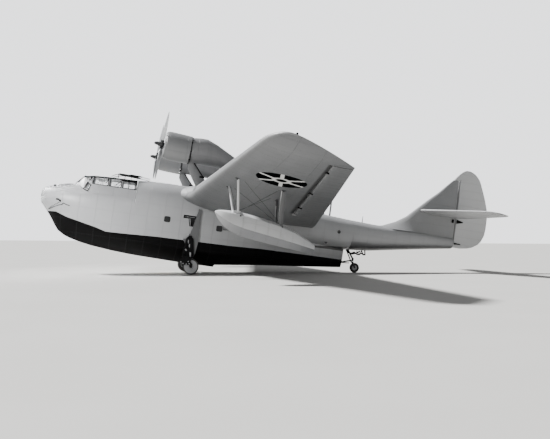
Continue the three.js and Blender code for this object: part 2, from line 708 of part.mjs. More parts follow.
function finPoint(z, le, te, x, side) {
  const t = Math.min(1, Math.max(0, (le - x) / (le - te)));
  const half = thicknessAt(t) * FIN_RATIO * Math.min(le - te, 4200) + 3;
  return [x, side * (half + rootFlare(z, t, x)), z];
}

function finRing([z, le, te], x0, x1, steps = 8) {
  const xs = Array.from({ length: steps }, (_, i) => {
    const f = i / (steps - 1);
    return x0 + (x1 - x0) * f ** 1.6;
  });
  return [
    ...xs.map((x) => finPoint(z, le, te, x, 1)),
    ...xs.reverse().map((x) => finPoint(z, le, te, x, -1)),
  ];
}
const finRows = FIN.flatMap((row, i) => {
  const next = FIN[i + 1];
  return next && row[0] < FIN_ROOT.z + 900 ? [row, row.map((q, k) => (q + next[k]) / 2)] : [row];
});
const fin = loft(finRows.map((row) => finRing(row, row[1], HINGE_X + 40)));
const boomCutter = loft(BOOM.map((row) => boomRing(row, GAP)));
add('fin', cut(fin, boomCutter));
const finCutter = loft(finRows.map((row) => finRing([row[0], row[1] + 1, row[2]], row[1] + 1, HINGE_X + 39)
  .map(([x, y, z]) => [x, y + Math.sign(y) * GAP, z])));

// Columns: z, trailing edge x
const RUDDER = [
  [2860, -12900], [2920, -13300], [3000, -13550], [3150, -13790], [3320, -13960], [3660, -14110],
  [4020, -14150], [4490, -14150], [4960, -14080], [5410, -13930], [5800, -13770], [6180, -13605],
];
const rudderRing = ([z, te]) => {
  const le = -9900;
  const nose = HINGE_X - 8;
  const steps = [0.03, 0.12, 0.3, 0.55, 0.8, 1];
  const half = (x) => {
    const whole = Math.min(le - te, 4200);
    return thicknessAt(Math.min(1, (le - x) / (le - te))) * FIN_RATIO * whole + 3;
  };
  const xs = steps.map((f) => nose + (te - nose) * f);
  return [
    [nose, 0, z],
    ...xs.map((x, i) => [x, half(x) * (i === 0 ? 0.8 : 1), z]),
    ...xs.map((x, i) => [x, -half(x) * (i === 0 ? 0.8 : 1), z]).reverse(),
  ];
};
const horn = loft(HORN.map((row) => finRing(row, row[1], row[2], 10)));
add('rudder', join(loft(RUDDER.map(rudderRing)), horn));

// Tailplane and elevators
const STAB = { leX: -10600, leZ: 4425, sweep: 0.245, teX: -12840, ratio: 0.10, pitch: 0.063, semiSpan: 4850 };
function stabStation(y) {
  const s = Math.min(1, Math.max(0, (y - 4150) / (STAB.semiSpan - 4150)));
  const round = 1 - Math.sqrt(1 - s * s);
  const le = STAB.leX - STAB.sweep * y - 420 * round;
  const te = STAB.teX + 380 * round;
  return { le, te, chord: le - te };
}

function stabPoint(y, x, side, grow = 0) {
  const { le, chord } = stabStation(y);
  const t = Math.min(1, Math.max(0, (le - x) / chord));
  const z = STAB.leZ - (STAB.leX - x) * STAB.pitch;
  return [x, y, z + side * (thicknessAt(t) * STAB.ratio * chord + 3 + grow)];
}

function stabRing(y, x0, x1, steps = 9) {
  const xs = Array.from({ length: steps }, (_, i) => x0 + (x1 - x0) * (i / (steps - 1)) ** 1.7);
  return [
    ...xs.map((x) => stabPoint(y, x, 1)),
    ...[...xs].reverse().map((x) => stabPoint(y, x, -1)),
  ];
}
const STAB_STATIONS = [40, 1200, 2600, 4150, 4400, 4600];
const tailplane = loft(STAB_STATIONS.map((y) => stabRing(y, stabStation(y).le, ELEVATOR_HINGE_X + 25)));
const tailTip = loft([4600, 4720, 4800, 4840].map((y) => stabRing(y, stabStation(y).le, stabStation(y).te)));
addPair('tailplane', cut(join(tailplane, tailTip), finCutter));
const elevatorRing = (y) => {
  const { te } = stabStation(y);
  const nose = ELEVATOR_HINGE_X - 12;
  const xs = [0.03, 0.14, 0.4, 0.7, 1].map((f) => nose + (te - nose) * f);
  return [
    stabPoint(y, nose, 0),
    ...xs.map((x, i) => stabPoint(y, x, i === 0 ? 0.8 : 1)),
    ...[...xs].reverse().map((x, i) => stabPoint(y, x, i === xs.length - 1 ? -0.8 : -1)),
  ];
};
const elevatorWhole = loft([240, 1200, 2600, 4150, 4400, 4585].map(elevatorRing));
const notch = loft([
  [[-12300, 200, 4000], [-12300, 240, 4000], [-12900, 520, 4000], [-12900, 200, 4000]],
  [[-12300, 200, 4700], [-12300, 240, 4700], [-12900, 520, 4700], [-12900, 200, 4700]],
]);
addPair('elevator', cut(elevatorWhole, notch));

// Main undercarriage: a faired leg and a brace on each side of the hull
const pitch = THREE.MathUtils.degToRad(PARKED_PITCH);
const fromGround = (x, y, z) => [x * Math.cos(pitch) + z * Math.sin(pitch), y, -x * Math.sin(pitch) + z * Math.cos(pitch)];
const mainAxle = fromGround(0, MAIN_WHEEL.y, MAIN_WHEEL.radius);
const LEG_INNER_Y = 1292;
const LEG_OUTER_Y = 1352;
const LEG_FAIRING = [
  [-100, 2850], [0, 2840], [250, 1690], [120, 1600], [5, 890], [-85, 890], [-150, 1450], [-125, 2040],
];
const legParts = join(
  prismY(LEG_FAIRING, LEG_INNER_Y, LEG_OUTER_Y),
  strut([-35, 1322, 960], [mainAxle[0] - 12, 1322, mainAxle[2]], 38, 26),
  strut([225, 1338, 1660], [mainAxle[0], 1338, mainAxle[2]], 52, 40),
  strut([mainAxle[0], LEG_INNER_Y, mainAxle[2]], [mainAxle[0], MAIN_WHEEL.y + 30, mainAxle[2]], 38, 38),
  strut([mainAxle[0] + 15, 1330, mainAxle[2] + 40], [430, 1305, 1450], 34, 22),
  box(-95, 20, 1255, LEG_OUTER_Y, 2700, 2850),
  box(150, 300, 1255, LEG_OUTER_Y, 1640, 1730),
  box(360, 500, 1255, LEG_OUTER_Y - 10, 1400, 1500),
);
const rootCutter = wingLoft([900, WING.leY, ...ROOT_STATIONS, WING.breakY], GAP);
addPair('main_leg', cut(legParts, hullCutter, afterbodyCutter, rootCutter));

function tyreProfile(radius, width, rim) {
  const h = width / 2;
  return [
    [-h * 0.62, rim], [-h * 0.96, rim + (radius - rim) * 0.35], [-h * 0.92, rim + (radius - rim) * 0.72],
    [-h * 0.55, radius - 5], [0, radius], [h * 0.55, radius - 5],
    [h * 0.92, rim + (radius - rim) * 0.72], [h * 0.96, rim + (radius - rim) * 0.35], [h * 0.62, rim],
  ];
}
addPair('main_tyre', hoop(mainAxle, [0, 1, 0], tyreProfile(MAIN_WHEEL.radius, MAIN_WHEEL.width, 205), 28));
addPair('main_wheel', hoop(mainAxle, [0, 1, 0], [
  [-70, 46], [-78, 80], [-66, 204.6], [66, 204.6], [107, 212], [108, 285], [114, 287], [124, 180], [127, 90], [120, 46],
], 28));

// Tail wheel: a fixed bracket on the stern, a swivelling fork and the wheel
const tailAxle = fromGround(TAIL_WHEEL.groundX, 0, TAIL_WHEEL.radius);
const swivelTop = [tailAxle[0] + 130, 0, tailAxle[2] + 420];
add('tail_bracket', cut(
  join(
    disc([swivelTop[0], 0, swivelTop[2] - 120], [0, 0, 1], [[0, 52], [150, 52]], 20),
    strut([swivelTop[0], 0, swivelTop[2] - 20], [-7260, 0, 2120], 42, 26),
    strut([swivelTop[0], 0, swivelTop[2] - 80], [-7000, 0, 1420], 34, 26, [0, 0, 1]),
  ),
  hullCutter,
  boomCutter,
  afterbodyCutter,
));
const forkTop = swivelTop[2] - 128;
add('tail_fork', join(
  disc([swivelTop[0], 0, forkTop - 70], [0, 0, 1], [[0, 50], [64, 50]], 20),
  strut([swivelTop[0], 80, forkTop - 50], [tailAxle[0], 88, tailAxle[2]], 30, 12),
  strut([swivelTop[0], -80, forkTop - 50], [tailAxle[0], -88, tailAxle[2]], 30, 12),
  box(swivelTop[0] - 40, swivelTop[0] + 40, -95, 95, forkTop - 75, forkTop - 30),
  disc([tailAxle[0], -100, tailAxle[2]], [0, 1, 0], [[0, 22], [200, 22]], 16),
));
add('tail_tyre', hoop(tailAxle, [0, 1, 0], tyreProfile(TAIL_WHEEL.radius, TAIL_WHEEL.width, 120), 24));
add('tail_wheel', hoop(tailAxle, [0, 1, 0], [[-40, 30], [-44, 119.6], [44, 119.6], [40, 30]], 24));

// Aerial mast on the starboard coaming of the rear gun station
add('aerial_mast', cut(strut([-6350, -520, 3200], [-6350, -520, 4280], 42, 20), hullCutter));

aircraft.rotation.y = -pitch;
aircraft.updateMatrixWorld(true);
const extent = new THREE.Box3().setFromObject(aircraft, true);
const centre = extent.getCenter(new THREE.Vector3());
aircraft.position.set(-centre.x, 0, -extent.min.z);
group.updateMatrixWorld(true);

export default group;
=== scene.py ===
# Twin-engined patrol flying boat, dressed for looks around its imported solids. Metres, +X nose, +Y port.
import functools
import json
import math

import bmesh
import bpy
from mathutils import Matrix, Vector


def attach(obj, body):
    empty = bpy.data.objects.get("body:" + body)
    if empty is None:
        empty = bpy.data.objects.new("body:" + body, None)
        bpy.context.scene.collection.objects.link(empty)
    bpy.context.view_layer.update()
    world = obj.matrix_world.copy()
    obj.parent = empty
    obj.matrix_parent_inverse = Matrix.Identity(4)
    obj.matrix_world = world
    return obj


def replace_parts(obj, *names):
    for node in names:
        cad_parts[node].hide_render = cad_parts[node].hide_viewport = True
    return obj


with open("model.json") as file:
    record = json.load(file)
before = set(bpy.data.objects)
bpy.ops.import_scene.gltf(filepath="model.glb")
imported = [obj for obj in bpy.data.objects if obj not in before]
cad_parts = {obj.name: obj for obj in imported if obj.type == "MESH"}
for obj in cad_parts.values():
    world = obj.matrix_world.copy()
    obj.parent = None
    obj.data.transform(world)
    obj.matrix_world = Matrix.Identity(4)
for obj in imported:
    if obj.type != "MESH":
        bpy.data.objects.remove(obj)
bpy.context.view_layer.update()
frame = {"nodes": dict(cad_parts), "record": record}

# Camera
# It stands 33 m off the port side at eye height, abreast of the cockpit, and looks a little aft and up.
EYE = Vector((6.8397, 33.0573, 1.5736))
YAW, TILT, ROLL = 0.2007, 0.0262, 0.0072
ahead = Vector((-math.sin(YAW) * math.cos(TILT), -math.cos(YAW) * math.cos(TILT), math.sin(TILT)))
right = Vector((-math.cos(YAW), math.sin(YAW), 0.0))
above = right.cross(ahead)
rolled_right = right * math.cos(ROLL) + above * math.sin(ROLL)
rolled_up = above * math.cos(ROLL) - right * math.sin(ROLL)
lens = bpy.data.cameras.new("camera")
lens.lens = 47.81
lens.sensor_width = 36.0
lens.clip_end = 500.0
camera = bpy.data.objects.new("camera", lens)
turned = Matrix((rolled_right, rolled_up, -ahead)).transposed().to_4x4()
camera.matrix_world = Matrix.Translation(EYE) @ turned
bpy.context.scene.collection.objects.link(camera)
bpy.context.scene.camera = camera


# Floor and light
# A pale matt floor under an even pale sky. One broad sun stands high ahead of the nose, on the far side,
# and a narrow soft panel lights the side of the bow that the camera sees.
def sheet_colour(code):
    """sRGB hex to the linear colour that the shaders take."""
    parts = [int(code[i:i + 2], 16) / 255 for i in (1, 3, 5)]
    return (*(c / 12.92 if c <= 0.04045 else ((c + 0.055) / 1.055) ** 2.4 for c in parts), 1.0)


def fill(node, feeds):
    """Give inputs of a node a value, a hex colour or another node's output."""
    for socket, value in feeds.items():
        if isinstance(value, bpy.types.NodeSocket):
            node.id_data.links.new(value, node.inputs[socket])
        else:
            node.inputs[socket].default_value = sheet_colour(value) if isinstance(value, str) else value


def add_node(tree, kind, feeds=(), out=0, **settings):
    """One node, fed by input name or in the order of its inputs. Its output comes back."""
    node = tree.nodes.new("ShaderNode" + kind)
    for key, value in settings.items():
        setattr(node, key, value)
    fill(node, feeds if isinstance(feeds, dict) else dict(enumerate(feeds)))
    return node.outputs[out]


def open_finish(finish):
    """A finish's node maker, its surface shader and its Object coordinates."""
    nodes = finish.node_tree.nodes
    maker = functools.partial(add_node, finish.node_tree)
    return maker, nodes["Principled BSDF"], nodes["Texture Coordinate"].outputs["Object"]


def new_finish(name):
    finish = bpy.data.materials.new(name)
    finish.use_nodes = True
    add_node(finish.node_tree, "TexCoord")
    return finish, *open_finish(finish)


def matt_floor():
    """Swept concrete: matt, with faint clouds a few metres across."""
    finish, node, shader, place = new_finish("matt concrete")
    cloud = node("TexNoise", {"Vector": place, "Scale": 0.35, "Detail": 4.0})
    tone = node("Mix", {0: cloud, 6: "#b2b1ae", 7: "#bcbbb8"}, 2, data_type="RGBA")
    fill(shader, {"Base Color": tone, "Roughness": 0.9})
    return finish


bm = bmesh.new()
bmesh.ops.create_grid(bm, x_segments=1, y_segments=1, size=300.0)
floor_mesh = bpy.data.meshes.new("floor")
bm.to_mesh(floor_mesh)
bm.free()
floor = bpy.data.objects.new("floor", floor_mesh)
floor_mesh.materials.append(matt_floor())
bpy.context.scene.collection.objects.link(floor)

SKY_LIGHT, SKY_SEEN = 0.46, 3.0
sky = bpy.data.worlds.new("pale sky")
sky.use_nodes = True
seen = add_node(sky.node_tree, "LightPath", out="Is Camera Ray")
glow = add_node(sky.node_tree, "MapRange", [seen, 0.0, 1.0, SKY_LIGHT, SKY_SEEN])
fill(sky.node_tree.nodes["Background"], {"Color": "#dfe0e2", "Strength": glow})
bpy.context.scene.world = sky


def lamp(kind, name, at, toward, **settings):
    light = bpy.data.lights.new(name, kind)
    for key, value in settings.items():
        setattr(light, key, value)
    holder = bpy.data.objects.new(name, light)
    holder.location = at
    holder.rotation_euler = (Vector(toward) - Vector(at)).to_track_quat("-Z", "Y").to_euler()
    bpy.context.scene.collection.objects.link(holder)


lamp("SUN", "high sun", (31, -17, 34), (0, 0, 0), energy=11.5, angle=0.10)
lamp("AREA", "bow side fill", (25, 22, 12), (9.3, 0.5, 1.7), energy=350, shape="RECTANGLE", size=6, size_y=4,
     spread=math.radians(20))

# Hull topsides and tail boom
# Riveted duralumin sheet over frames, sprayed with light grey lacquer. The plates lap along the
# frames and stringers, and their edges show as faint darker seams with rows of rivets beside them.
PITCH = math.radians(7.5)
DATUM = Matrix.Translation((4.1157, 0.0, -0.0015)) @ Matrix.Rotation(-PITCH, 4, "Y")
FRAME_PITCH, STRINGER_PITCH = 0.72, 0.56
RIVET_PITCH = 0.075
SEAM_WIDTH = 0.007


def datum_axes(node, place):
    """Object coordinates turned back level with the hull, as separate x, y and z."""
    turn = {"Vector": place, "Location": (-4.0803, 0.0, 0.5387), "Rotation": (0.0, PITCH, 0.0)}
    level = node("Mapping", turn, vector_type="POINT")
    return tuple(node("SeparateXYZ", [level]).node.outputs)


def stripe(node, run, spacing, width, start=0.0):
    """1 on thin lines across run, one every spacing, fading to 0 beside them."""
    moved = node("Math", [run, start], operation="SUBTRACT")
    saw = node("Math", [moved, spacing / 2], operation="PINGPONG")
    return node("MapRange", [saw, width * 0.5, width * 1.3, 1.0, 0.0])


def dots(node, across, along, spacing, offset):
    """Rivet heads in two rows beside each line across, one every RIVET_PITCH along it."""
    near, far = 0.00006, 0.00022
    saw = node("Math", [across, spacing / 2], operation="PINGPONG")
    row = node("Math", [saw, offset], operation="SUBTRACT")
    row = node("Math", [row], operation="ABSOLUTE")
    step = node("Math", [along, RIVET_PITCH / 2], operation="PINGPONG")
    row_square = node("Math", [row, row], operation="MULTIPLY")
    step_square = node("Math", [step, step], operation="MULTIPLY")
    square = node("Math", [row_square, step_square], operation="ADD")
    return node("MapRange", [square, near, far, 1.0, 0.0])


def lacquered_sheet(name, light, dark, seams, roughness=0.42, relief=0.012, stain=0.3, line=0.18, gloss=0.5,
                    below="#ffffff"):
    """Sprayed sheet metal: cloudy lacquer, seam lines and rivets from seams(node, x, y, z), rain streaks.

    Faces that look down are tinted by below: painted shade under wings, floats, nacelles and the boom."""
    finish, node, shader, place = new_finish(name)
    x, y, z = datum_axes(node, place)
    cloud = node("TexNoise", {"Vector": place, "Scale": 0.9, "Detail": 5.0, "Roughness": 0.6})
    stretched = node("Mapping", {"Vector": place, "Scale": (3.2, 3.2, 0.35)})
    streak = node("TexNoise", {"Vector": stretched, "Scale": 1.7, "Detail": 6.0})
    streak_edge = node("MapRange", [streak, 0.5, 0.72, 0.0, stain])
    base = node("Mix", {0: cloud, 6: light, 7: dark}, 2, data_type="RGBA")
    stained = node("Mix", {0: streak_edge, 6: base, 7: dark}, 2, data_type="RGBA")
    joints, heads = seams(node, x, y, z)
    faint_heads = node("Math", [heads, 0.5], operation="MULTIPLY")
    marks = node("Math", [joints, faint_heads], operation="MAXIMUM")
    ink = node("Math", [marks, line], operation="MULTIPLY")
    inked = node("Mix", {0: ink, 6: stained, 7: "#4c4d4f"}, 2, data_type="RGBA")
    # Painted shade: faces that look down are darkened by the below colour.
    facing = node("SeparateXYZ", [place.node.outputs["Normal"]], "Z")
    under = node("MapRange", [facing, -0.15, -0.8, 0.0, 1.0])
    painted_underside_shade = node("Mix", {0: under, 6: inked, 7: below}, 2, data_type="RGBA", blend_type="MULTIPLY")
    rough = node("MapRange", [cloud, 0.0, 1.0, roughness - 0.08, roughness + 0.07])
    raised = node("Math", [heads, 0.6], operation="MULTIPLY")
    height = node("Math", [raised, joints], operation="SUBTRACT")
    bump = node("Bump", {"Height": height, "Distance": relief, "Strength": 0.6})
    fill(shader, {"Base Color": painted_underside_shade, "Roughness": rough, "Normal": bump, "Specular IOR Level": gloss})
    return finish


def hull_seams(node, x, y, z):
    frames = stripe(node, x, FRAME_PITCH, SEAM_WIDTH)
    stringers = stripe(node, z, STRINGER_PITCH, SEAM_WIDTH * 0.8)
    faint_stringers = node("Math", [stringers, 0.45], operation="MULTIPLY")
    frame_heads = dots(node, x, z, FRAME_PITCH, 0.03)
    stringer_heads = dots(node, z, x, STRINGER_PITCH, 0.025)
    heads = node("Math", [frame_heads, stringer_heads], operation="MAXIMUM")
    return node("Math", [frames, faint_stringers], operation="MAXIMUM"), heads


def smooth(shape, angle):
    """Shade every face smooth, with a hard edge where two faces turn by more than the angle."""
    for edge in shape.edges:
        edge.smooth = len(edge.link_faces) == 2 and edge.calc_face_angle(0.0) < math.radians(angle)
    for face in shape.faces:
        face.smooth = True


def place_piece(shape, mesh, name, finish, body, slot):
    """Put a finished bmesh into a mesh and its object, which rides on a body."""
    shape.to_mesh(mesh)
    shape.free()
    mesh.materials.clear()
    mesh.materials.append(finish)
    piece = bpy.data.objects.new(name, mesh)
    bpy.context.scene.collection.objects.link(piece)
    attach(piece, body)
    return piece


bodies = frame["record"]["behaviour"]["bodies"]
body_of = {node: body for body, members in bodies.items() for node in members}
slot_of = {row["node"]: row["material_slot"] for row in frame["record"]["subparts"]}


def skin(node, finish, angle=34):
    """A merged, smooth-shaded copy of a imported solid, which stands in for its loose triangles."""
    mesh = frame["nodes"][node].data.copy()
    shape = bmesh.new()
    shape.from_mesh(mesh)
    bmesh.ops.remove_doubles(shape, verts=shape.verts, dist=0.0002)
    smooth(shape, angle)
    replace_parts(place_piece(shape, mesh, node + "_skin", finish, body_of[node], slot_of[node]), node)


def shade_undercut(finish):
    """Darken the deep crease where the boom overhangs the afterbody, a wedge that widens aft."""
    front_x, length = -5.39, 1.66
    node, shader, place = open_finish(finish)
    x, y, z = datum_axes(node, place)
    back = node("Math", [front_x, x], operation="SUBTRACT")
    crown = node("Math", [back, 0.0945, 2.006], operation="MULTIPLY_ADD")
    foot = node("Math", [back, 0.020, 1.915], operation="MULTIPLY_ADD")
    under_crown = node("Math", [crown, z], operation="SUBTRACT")
    over_foot = node("Math", [z, foot], operation="SUBTRACT")
    to_end = node("Math", [length, back], operation="SUBTRACT")
    inside = node("Math", [under_crown, over_foot], operation="MINIMUM")
    inside = node("Math", [inside, back], operation="MINIMUM")
    inside = node("Math", [inside, to_end], operation="MINIMUM")
    mask = node("MapRange", [inside, 0.0, 0.015, 0.0, 0.92])
    lacquer = shader.inputs["Base Color"].links[0].from_socket
    shaded = node("Mix", {0: mask, 6: lacquer, 7: "#0c0c0d"}, 2, data_type="RGBA")
    fill(shader, {"Base Color": shaded})
    return finish


grey_lacquer = shade_undercut(lacquered_sheet("grey lacquered duralumin", "#9e9fa0", "#8e8f91", hull_seams))
skin("hull_topsides", grey_lacquer)
# The boom's dark below colour is painted shade on its underside.
skin("tail_boom", shade_undercut(
    lacquered_sheet("grey lacquered boom sheet", "#9e9fa0", "#8e8f91", hull_seams, below="#4a4b4c")))

# Hull bottom
# The planing bottom is the same sheet metal under black protective varnish. It carries faint streaks
# from beaching.
bottom_varnish = lacquered_sheet(
    "black bottom varnish", "#0b0b0c", "#060606", hull_seams, roughness=0.65, line=0.10, stain=0.2,
    gloss=0.04)
skin("hull_bottom", bottom_varnish)


# Hull side windows
# Square rounded panes in the sides under the wing and four small round ports aft, painted near black
# as shade inside the hull. Each is held by a thin pressed ring that is riveted to the plating.
def make_piece(shape, name, finish, body="airframe", slot="topsides_paint", level=True, angle=35):
    """Turn a finished bmesh, drawn level with the hull or as parked, into an object on a body."""
    bmesh.ops.remove_doubles(shape, verts=shape.verts, dist=0.00005)
    if level:
        bmesh.ops.transform(shape, matrix=DATUM, verts=shape.verts)
    bmesh.ops.recalc_face_normals(shape, faces=shape.faces)
    smooth(shape, angle)
    return place_piece(shape, bpy.data.meshes.new(name), name, finish, body, slot)


def dark_steel(name, light="#4b4c4e", dark="#2b2c2d", roughness=0.5, metallic=0.6):
    """Oiled and painted steel fittings: dull dark grey with brighter rubbed patches."""
    finish, node, shader, place = new_finish(name)
    grit = node("TexNoise", {"Vector": place, "Scale": 14.0, "Detail": 6.0})
    tone = node("Mix", {0: grit, 6: dark, 7: light}, 2, data_type="RGBA")
    rough = node("MapRange", [grit, 0.0, 1.0, roughness - 0.12, roughness + 0.15])
    bump = node("Bump", {"Height": grit, "Distance": 0.002, "Strength": 0.4})
    fill(shader, {"Base Color": tone, "Roughness": rough, "Normal": bump, "Metallic": metallic})
    return finish


# Opaque near-black panes: painted shade of what lies behind the glass.
window_pane = dark_steel("window pane painted dark as shade behind it", "#101113", "#08090a", 0.3, 0.0)
HULL_SIDE = 1.262
SQUARE_WINDOWS = [(1.30, 2.23), (-0.99, 2.14)]
PORT_RADIUS = 0.078
PORTS = [(-6.47, 2.77), (-5.94, 2.235)]
# Station, bottom, widest height, half-beam there, deck.
BOOM_ROWS = [(-1.0, 1.9, 2.4, 1.26, 3.832), (-2.0, 1.915, 2.44, 1.255, 3.8), (-3.5, 1.95, 2.5, 1.21, 3.7),
             (-5.4, 1.99, 2.6, 1.1, 3.57), (-7.0, 2.02, 2.66, 0.97, 3.45), (-8.3, 2.135, 2.74, 0.83, 3.395),
             (-9.9, 2.4, 2.88, 0.65, 3.37), (-11.4, 2.64, 2.99, 0.46, 3.34), (-12.4, 2.79, 3.05, 0.30, 3.30)]


def rounded_square(shape, centre, width, height, depth, corner):
    """A flat box whose four upright-facing corners are rounded, for a pane or its ring."""
    matrix = Matrix.Translation(centre) @ Matrix.Diagonal((width, depth, height, 1.0))
    verts = bmesh.ops.create_cube(shape, size=1.0, matrix=matrix)["verts"]
    edges = [e for e in {e for v in verts for e in v.link_edges}
             if abs(e.verts[0].co.y - e.verts[1].co.y) > depth * 0.9]
    bmesh.ops.bevel(shape, geom=edges, offset=corner, segments=4, affect="EDGES", profile=0.5, material=-1)


def row_at(rows, key):
    """The values of a table of rows at a key between two of their first values, None outside them."""
    for first, second in zip(rows, rows[1:]):
        if min(first[0], second[0]) <= key <= max(first[0], second[0]):
            share = (first[0] - key) / (first[0] - second[0])
            return [a + (b - a) * share for a, b in zip(first[1:], second[1:])]


def boom_side(x, z):
    """Half-beam of the tail boom at a station and height."""
    bottom, widest, half, deck = row_at(BOOM_ROWS, x)
    if z >= widest:
        power, rise = 2.7, min(1.0, (z - widest) / (deck - widest))
    else:
        power, rise = 2.6, min(1.0, (widest - z) / (widest - bottom))
    return half * (1 - rise ** power) ** (1 / power)


def lathe(shape, profile, origin, axis, steps=32, closed=False):
    """Spin a profile of (along, radius) pairs about an axis."""
    axis = Vector(axis).normalized()
    side = axis.orthogonal().normalized()
    line = [shape.verts.new(Vector(origin) + axis * along + side * radius) for along, radius in profile]
    pairs = list(zip(line, line[1:])) + ([(line[-1], line[0])] if closed else [])
    edges = [shape.edges.new(pair) for pair in pairs]
    bmesh.ops.spin(
        shape, geom=line + edges, cent=origin, axis=axis, angle=2 * math.pi, steps=steps, use_merge=True)


panes = bmesh.new()
rings = bmesh.new()
for x, z in SQUARE_WINDOWS:
    for side in (1, -1):
        rounded_square(panes, (x, side * (HULL_SIDE + 0.004), z), 0.27, 0.255, 0.024, 0.06)
        rounded_square(rings, (x, side * HULL_SIDE, z), 0.315, 0.30, 0.022, 0.075)
pane_profile = [(0.0, 0.0), (0.012, PORT_RADIUS * 0.8), (0.012, PORT_RADIUS), (-0.02, PORT_RADIUS)]
ring_profile = [(0.0, PORT_RADIUS), (0.018, PORT_RADIUS), (0.018, PORT_RADIUS * 1.25),
                (0.0, PORT_RADIUS * 1.3)]
for x, z in PORTS:
    for side in (1, -1):
        centre = (x, side * (boom_side(x, z) - 0.006), z)
        lathe(panes, pane_profile, centre, (0, side, 0), 20)
        lathe(rings, ring_profile, centre, (0, side, 0), 20, closed=True)
make_piece(panes, "side_window_panes", window_pane, slot="glazing")
make_piece(rings, "side_window_rings", grey_lacquer)


# Bow
# A mooring door seam with its dotted line of fasteners, a dark catch, a towing eye at the stem and a
# small vent. Pressed steel fittings bolted over the plating.
def rod(shape, start, end, radius, end_radius=None, sides=10):
    start, end = Vector(start), Vector(end)
    turn = (end - start).to_track_quat("Z", "Y").to_matrix().to_4x4()
    bmesh.ops.create_cone(
        shape, cap_ends=True, segments=sides, radius1=radius,
        radius2=radius if end_radius is None else end_radius, depth=(end - start).length,
        matrix=Matrix.Translation((start + end) / 2) @ turn)


def rail(shape, points, radius, sides=8):
    """A bent tube: straight rods with a ball at each corner."""
    for start, end in zip(points, points[1:]):
        rod(shape, start, end, radius, sides=sides)
    for corner in points[1:-1]:
        seat = Matrix.Translation(corner)
        bmesh.ops.create_icosphere(shape, subdivisions=1, radius=radius * 1.02, matrix=seat)


def block(shape, centre, size, edge=0.0, turn=Matrix.Identity(4)):
    """A box with rounded edges."""
    matrix = Matrix.Translation(centre) @ turn @ Matrix.Diagonal((*size, 1.0))
    verts = bmesh.ops.create_cube(shape, size=1.0, matrix=matrix)["verts"]
    if edge:
        edges = list({e for v in verts for e in v.link_edges})
        bmesh.ops.bevel(shape, geom=edges, offset=edge, segments=2, affect="EDGES", profile=0.5, material=-1)


# Station, chine height and half-beam, widest height and half-beam, deck.
BOW_ROWS = [(6.71, 2.335, 0.13, 2.5, 0.27, 2.79), (6.6, 2.235, 0.22, 2.48, 0.44, 2.915),
            (6.42, 2.115, 0.335, 2.45, 0.61, 2.99), (6.24, 2.015, 0.45, 2.43, 0.735, 3.035),
            (6.0, 1.915, 0.605, 2.4, 0.865, 3.09), (5.85, 1.86, 0.69, 2.38, 0.925, 3.12),
            (5.55, 1.76, 0.83, 2.36, 1.03, 3.185), (5.25, 1.67, 0.94, 2.34, 1.105, 3.24),
            (4.8, 1.56, 1.05, 2.32, 1.18, 3.29), (4.35, 1.46, 1.12, 2.31, 1.225, 3.32)]
DOOR_SEAMS = [
    [(6.33, 1.97), (6.12, 2.08), (5.92, 2.18), (5.74, 2.24)],
    [(5.74, 2.24), (5.71, 2.30)],
    [(5.71, 2.30), (5.58, 2.25), (5.43, 2.22)],
]


def fore_side(x, z):
    """Half-beam of the forebody at a station and height above the chine."""
    chine_z, chine, widest_z, widest, deck = row_at(BOW_ROWS, x)
    if z >= widest_z:
        return widest * (1 - min(1.0, (z - widest_z) / (deck - widest_z)) ** 2.7) ** (1 / 2.7)
    return chine + (widest - chine) * max(0.0, (z - chine_z) / (widest_z - chine_z)) ** 0.75


# Flat black is the own colour of black fittings, and painted shade on window bars, roof hatch panel and
# pylon strips.
shade_and_flat_black = dark_steel("flat black enamel and painted shade", "#101112", "#080809", 0.8, 0.0)
fill(shade_and_flat_black.node_tree.nodes["Principled BSDF"], {"Specular IOR Level": 0.1})
shape = bmesh.new()
for side in (1, -1):
    for seam in DOOR_SEAMS:
        rail(shape, [(x, side * (fore_side(x, z) + 0.002), z) for x, z in seam], 0.015, 6)
    for step in range(9):
        x, z = 6.30 - step * 0.058, 2.03 + step * 0.0385
        foot = (x, side * (fore_side(x, z) - 0.002), z)
        lathe(shape, [(0.018, 0.0), (0.015, 0.017), (0.0, 0.024)], foot, (0, side, 0), 8)
    block(shape, (5.955, side * (fore_side(5.955, 2.42) + 0.004), 2.43), (0.15, 0.04, 0.065), 0.01)
    block(shape, (5.86, side * (fore_side(5.86, 2.40) + 0.004), 2.39), (0.09, 0.04, 0.07), 0.01)
BOW_VENT = [(-0.02, 0.0), (0.06, 0.0), (0.06, 0.05), (-0.02, 0.055)]
lathe(shape, BOW_VENT, (6.20, 0.34, 3.00), (0.2, 0.3, 1), 12)
rail(shape, [(6.68, 0.0, 2.31), (6.705, 0.0, 2.27), (6.69, 0.0, 2.22), (6.65, 0.0, 2.21)], 0.012, 8)
make_piece(shape, "bow_fittings", shade_and_flat_black, slot="bare_metal")


# Cockpit enclosure
# A riveted frame of light alloy with a raked windscreen, painted with the hull, over one liner of clear
# sheet. Window bars and the roof's edge rail are strips over it, flat black: painted shade along the frames.
def clear_sheet(name, tint, alpha):
    """Cellulose sheet: nearly clear, faintly dusty, glossy."""
    finish, node, shader, place = new_finish(name)
    dust = node("TexNoise", {"Vector": place, "Scale": 6.0, "Detail": 5.0})
    veil = node("MapRange", [dust, 0.35, 0.75, alpha, alpha + 0.12])
    rough = node("MapRange", [dust, 0.0, 1.0, 0.03, 0.12])
    fill(shader, {"Alpha": veil, "Roughness": rough, "Base Color": tint, "IOR": 1.49})
    return finish


def plain_seams(spacing, axis="x"):
    """Seams at one spacing across one datum axis."""
    def seams(node, x, y, z):
        run, along = {"x": (x, z), "y": (y, x), "z": (z, x)}[axis]
        return stripe(node, run, spacing, SEAM_WIDTH), dots(node, run, along, spacing, 0.028)
    return seams


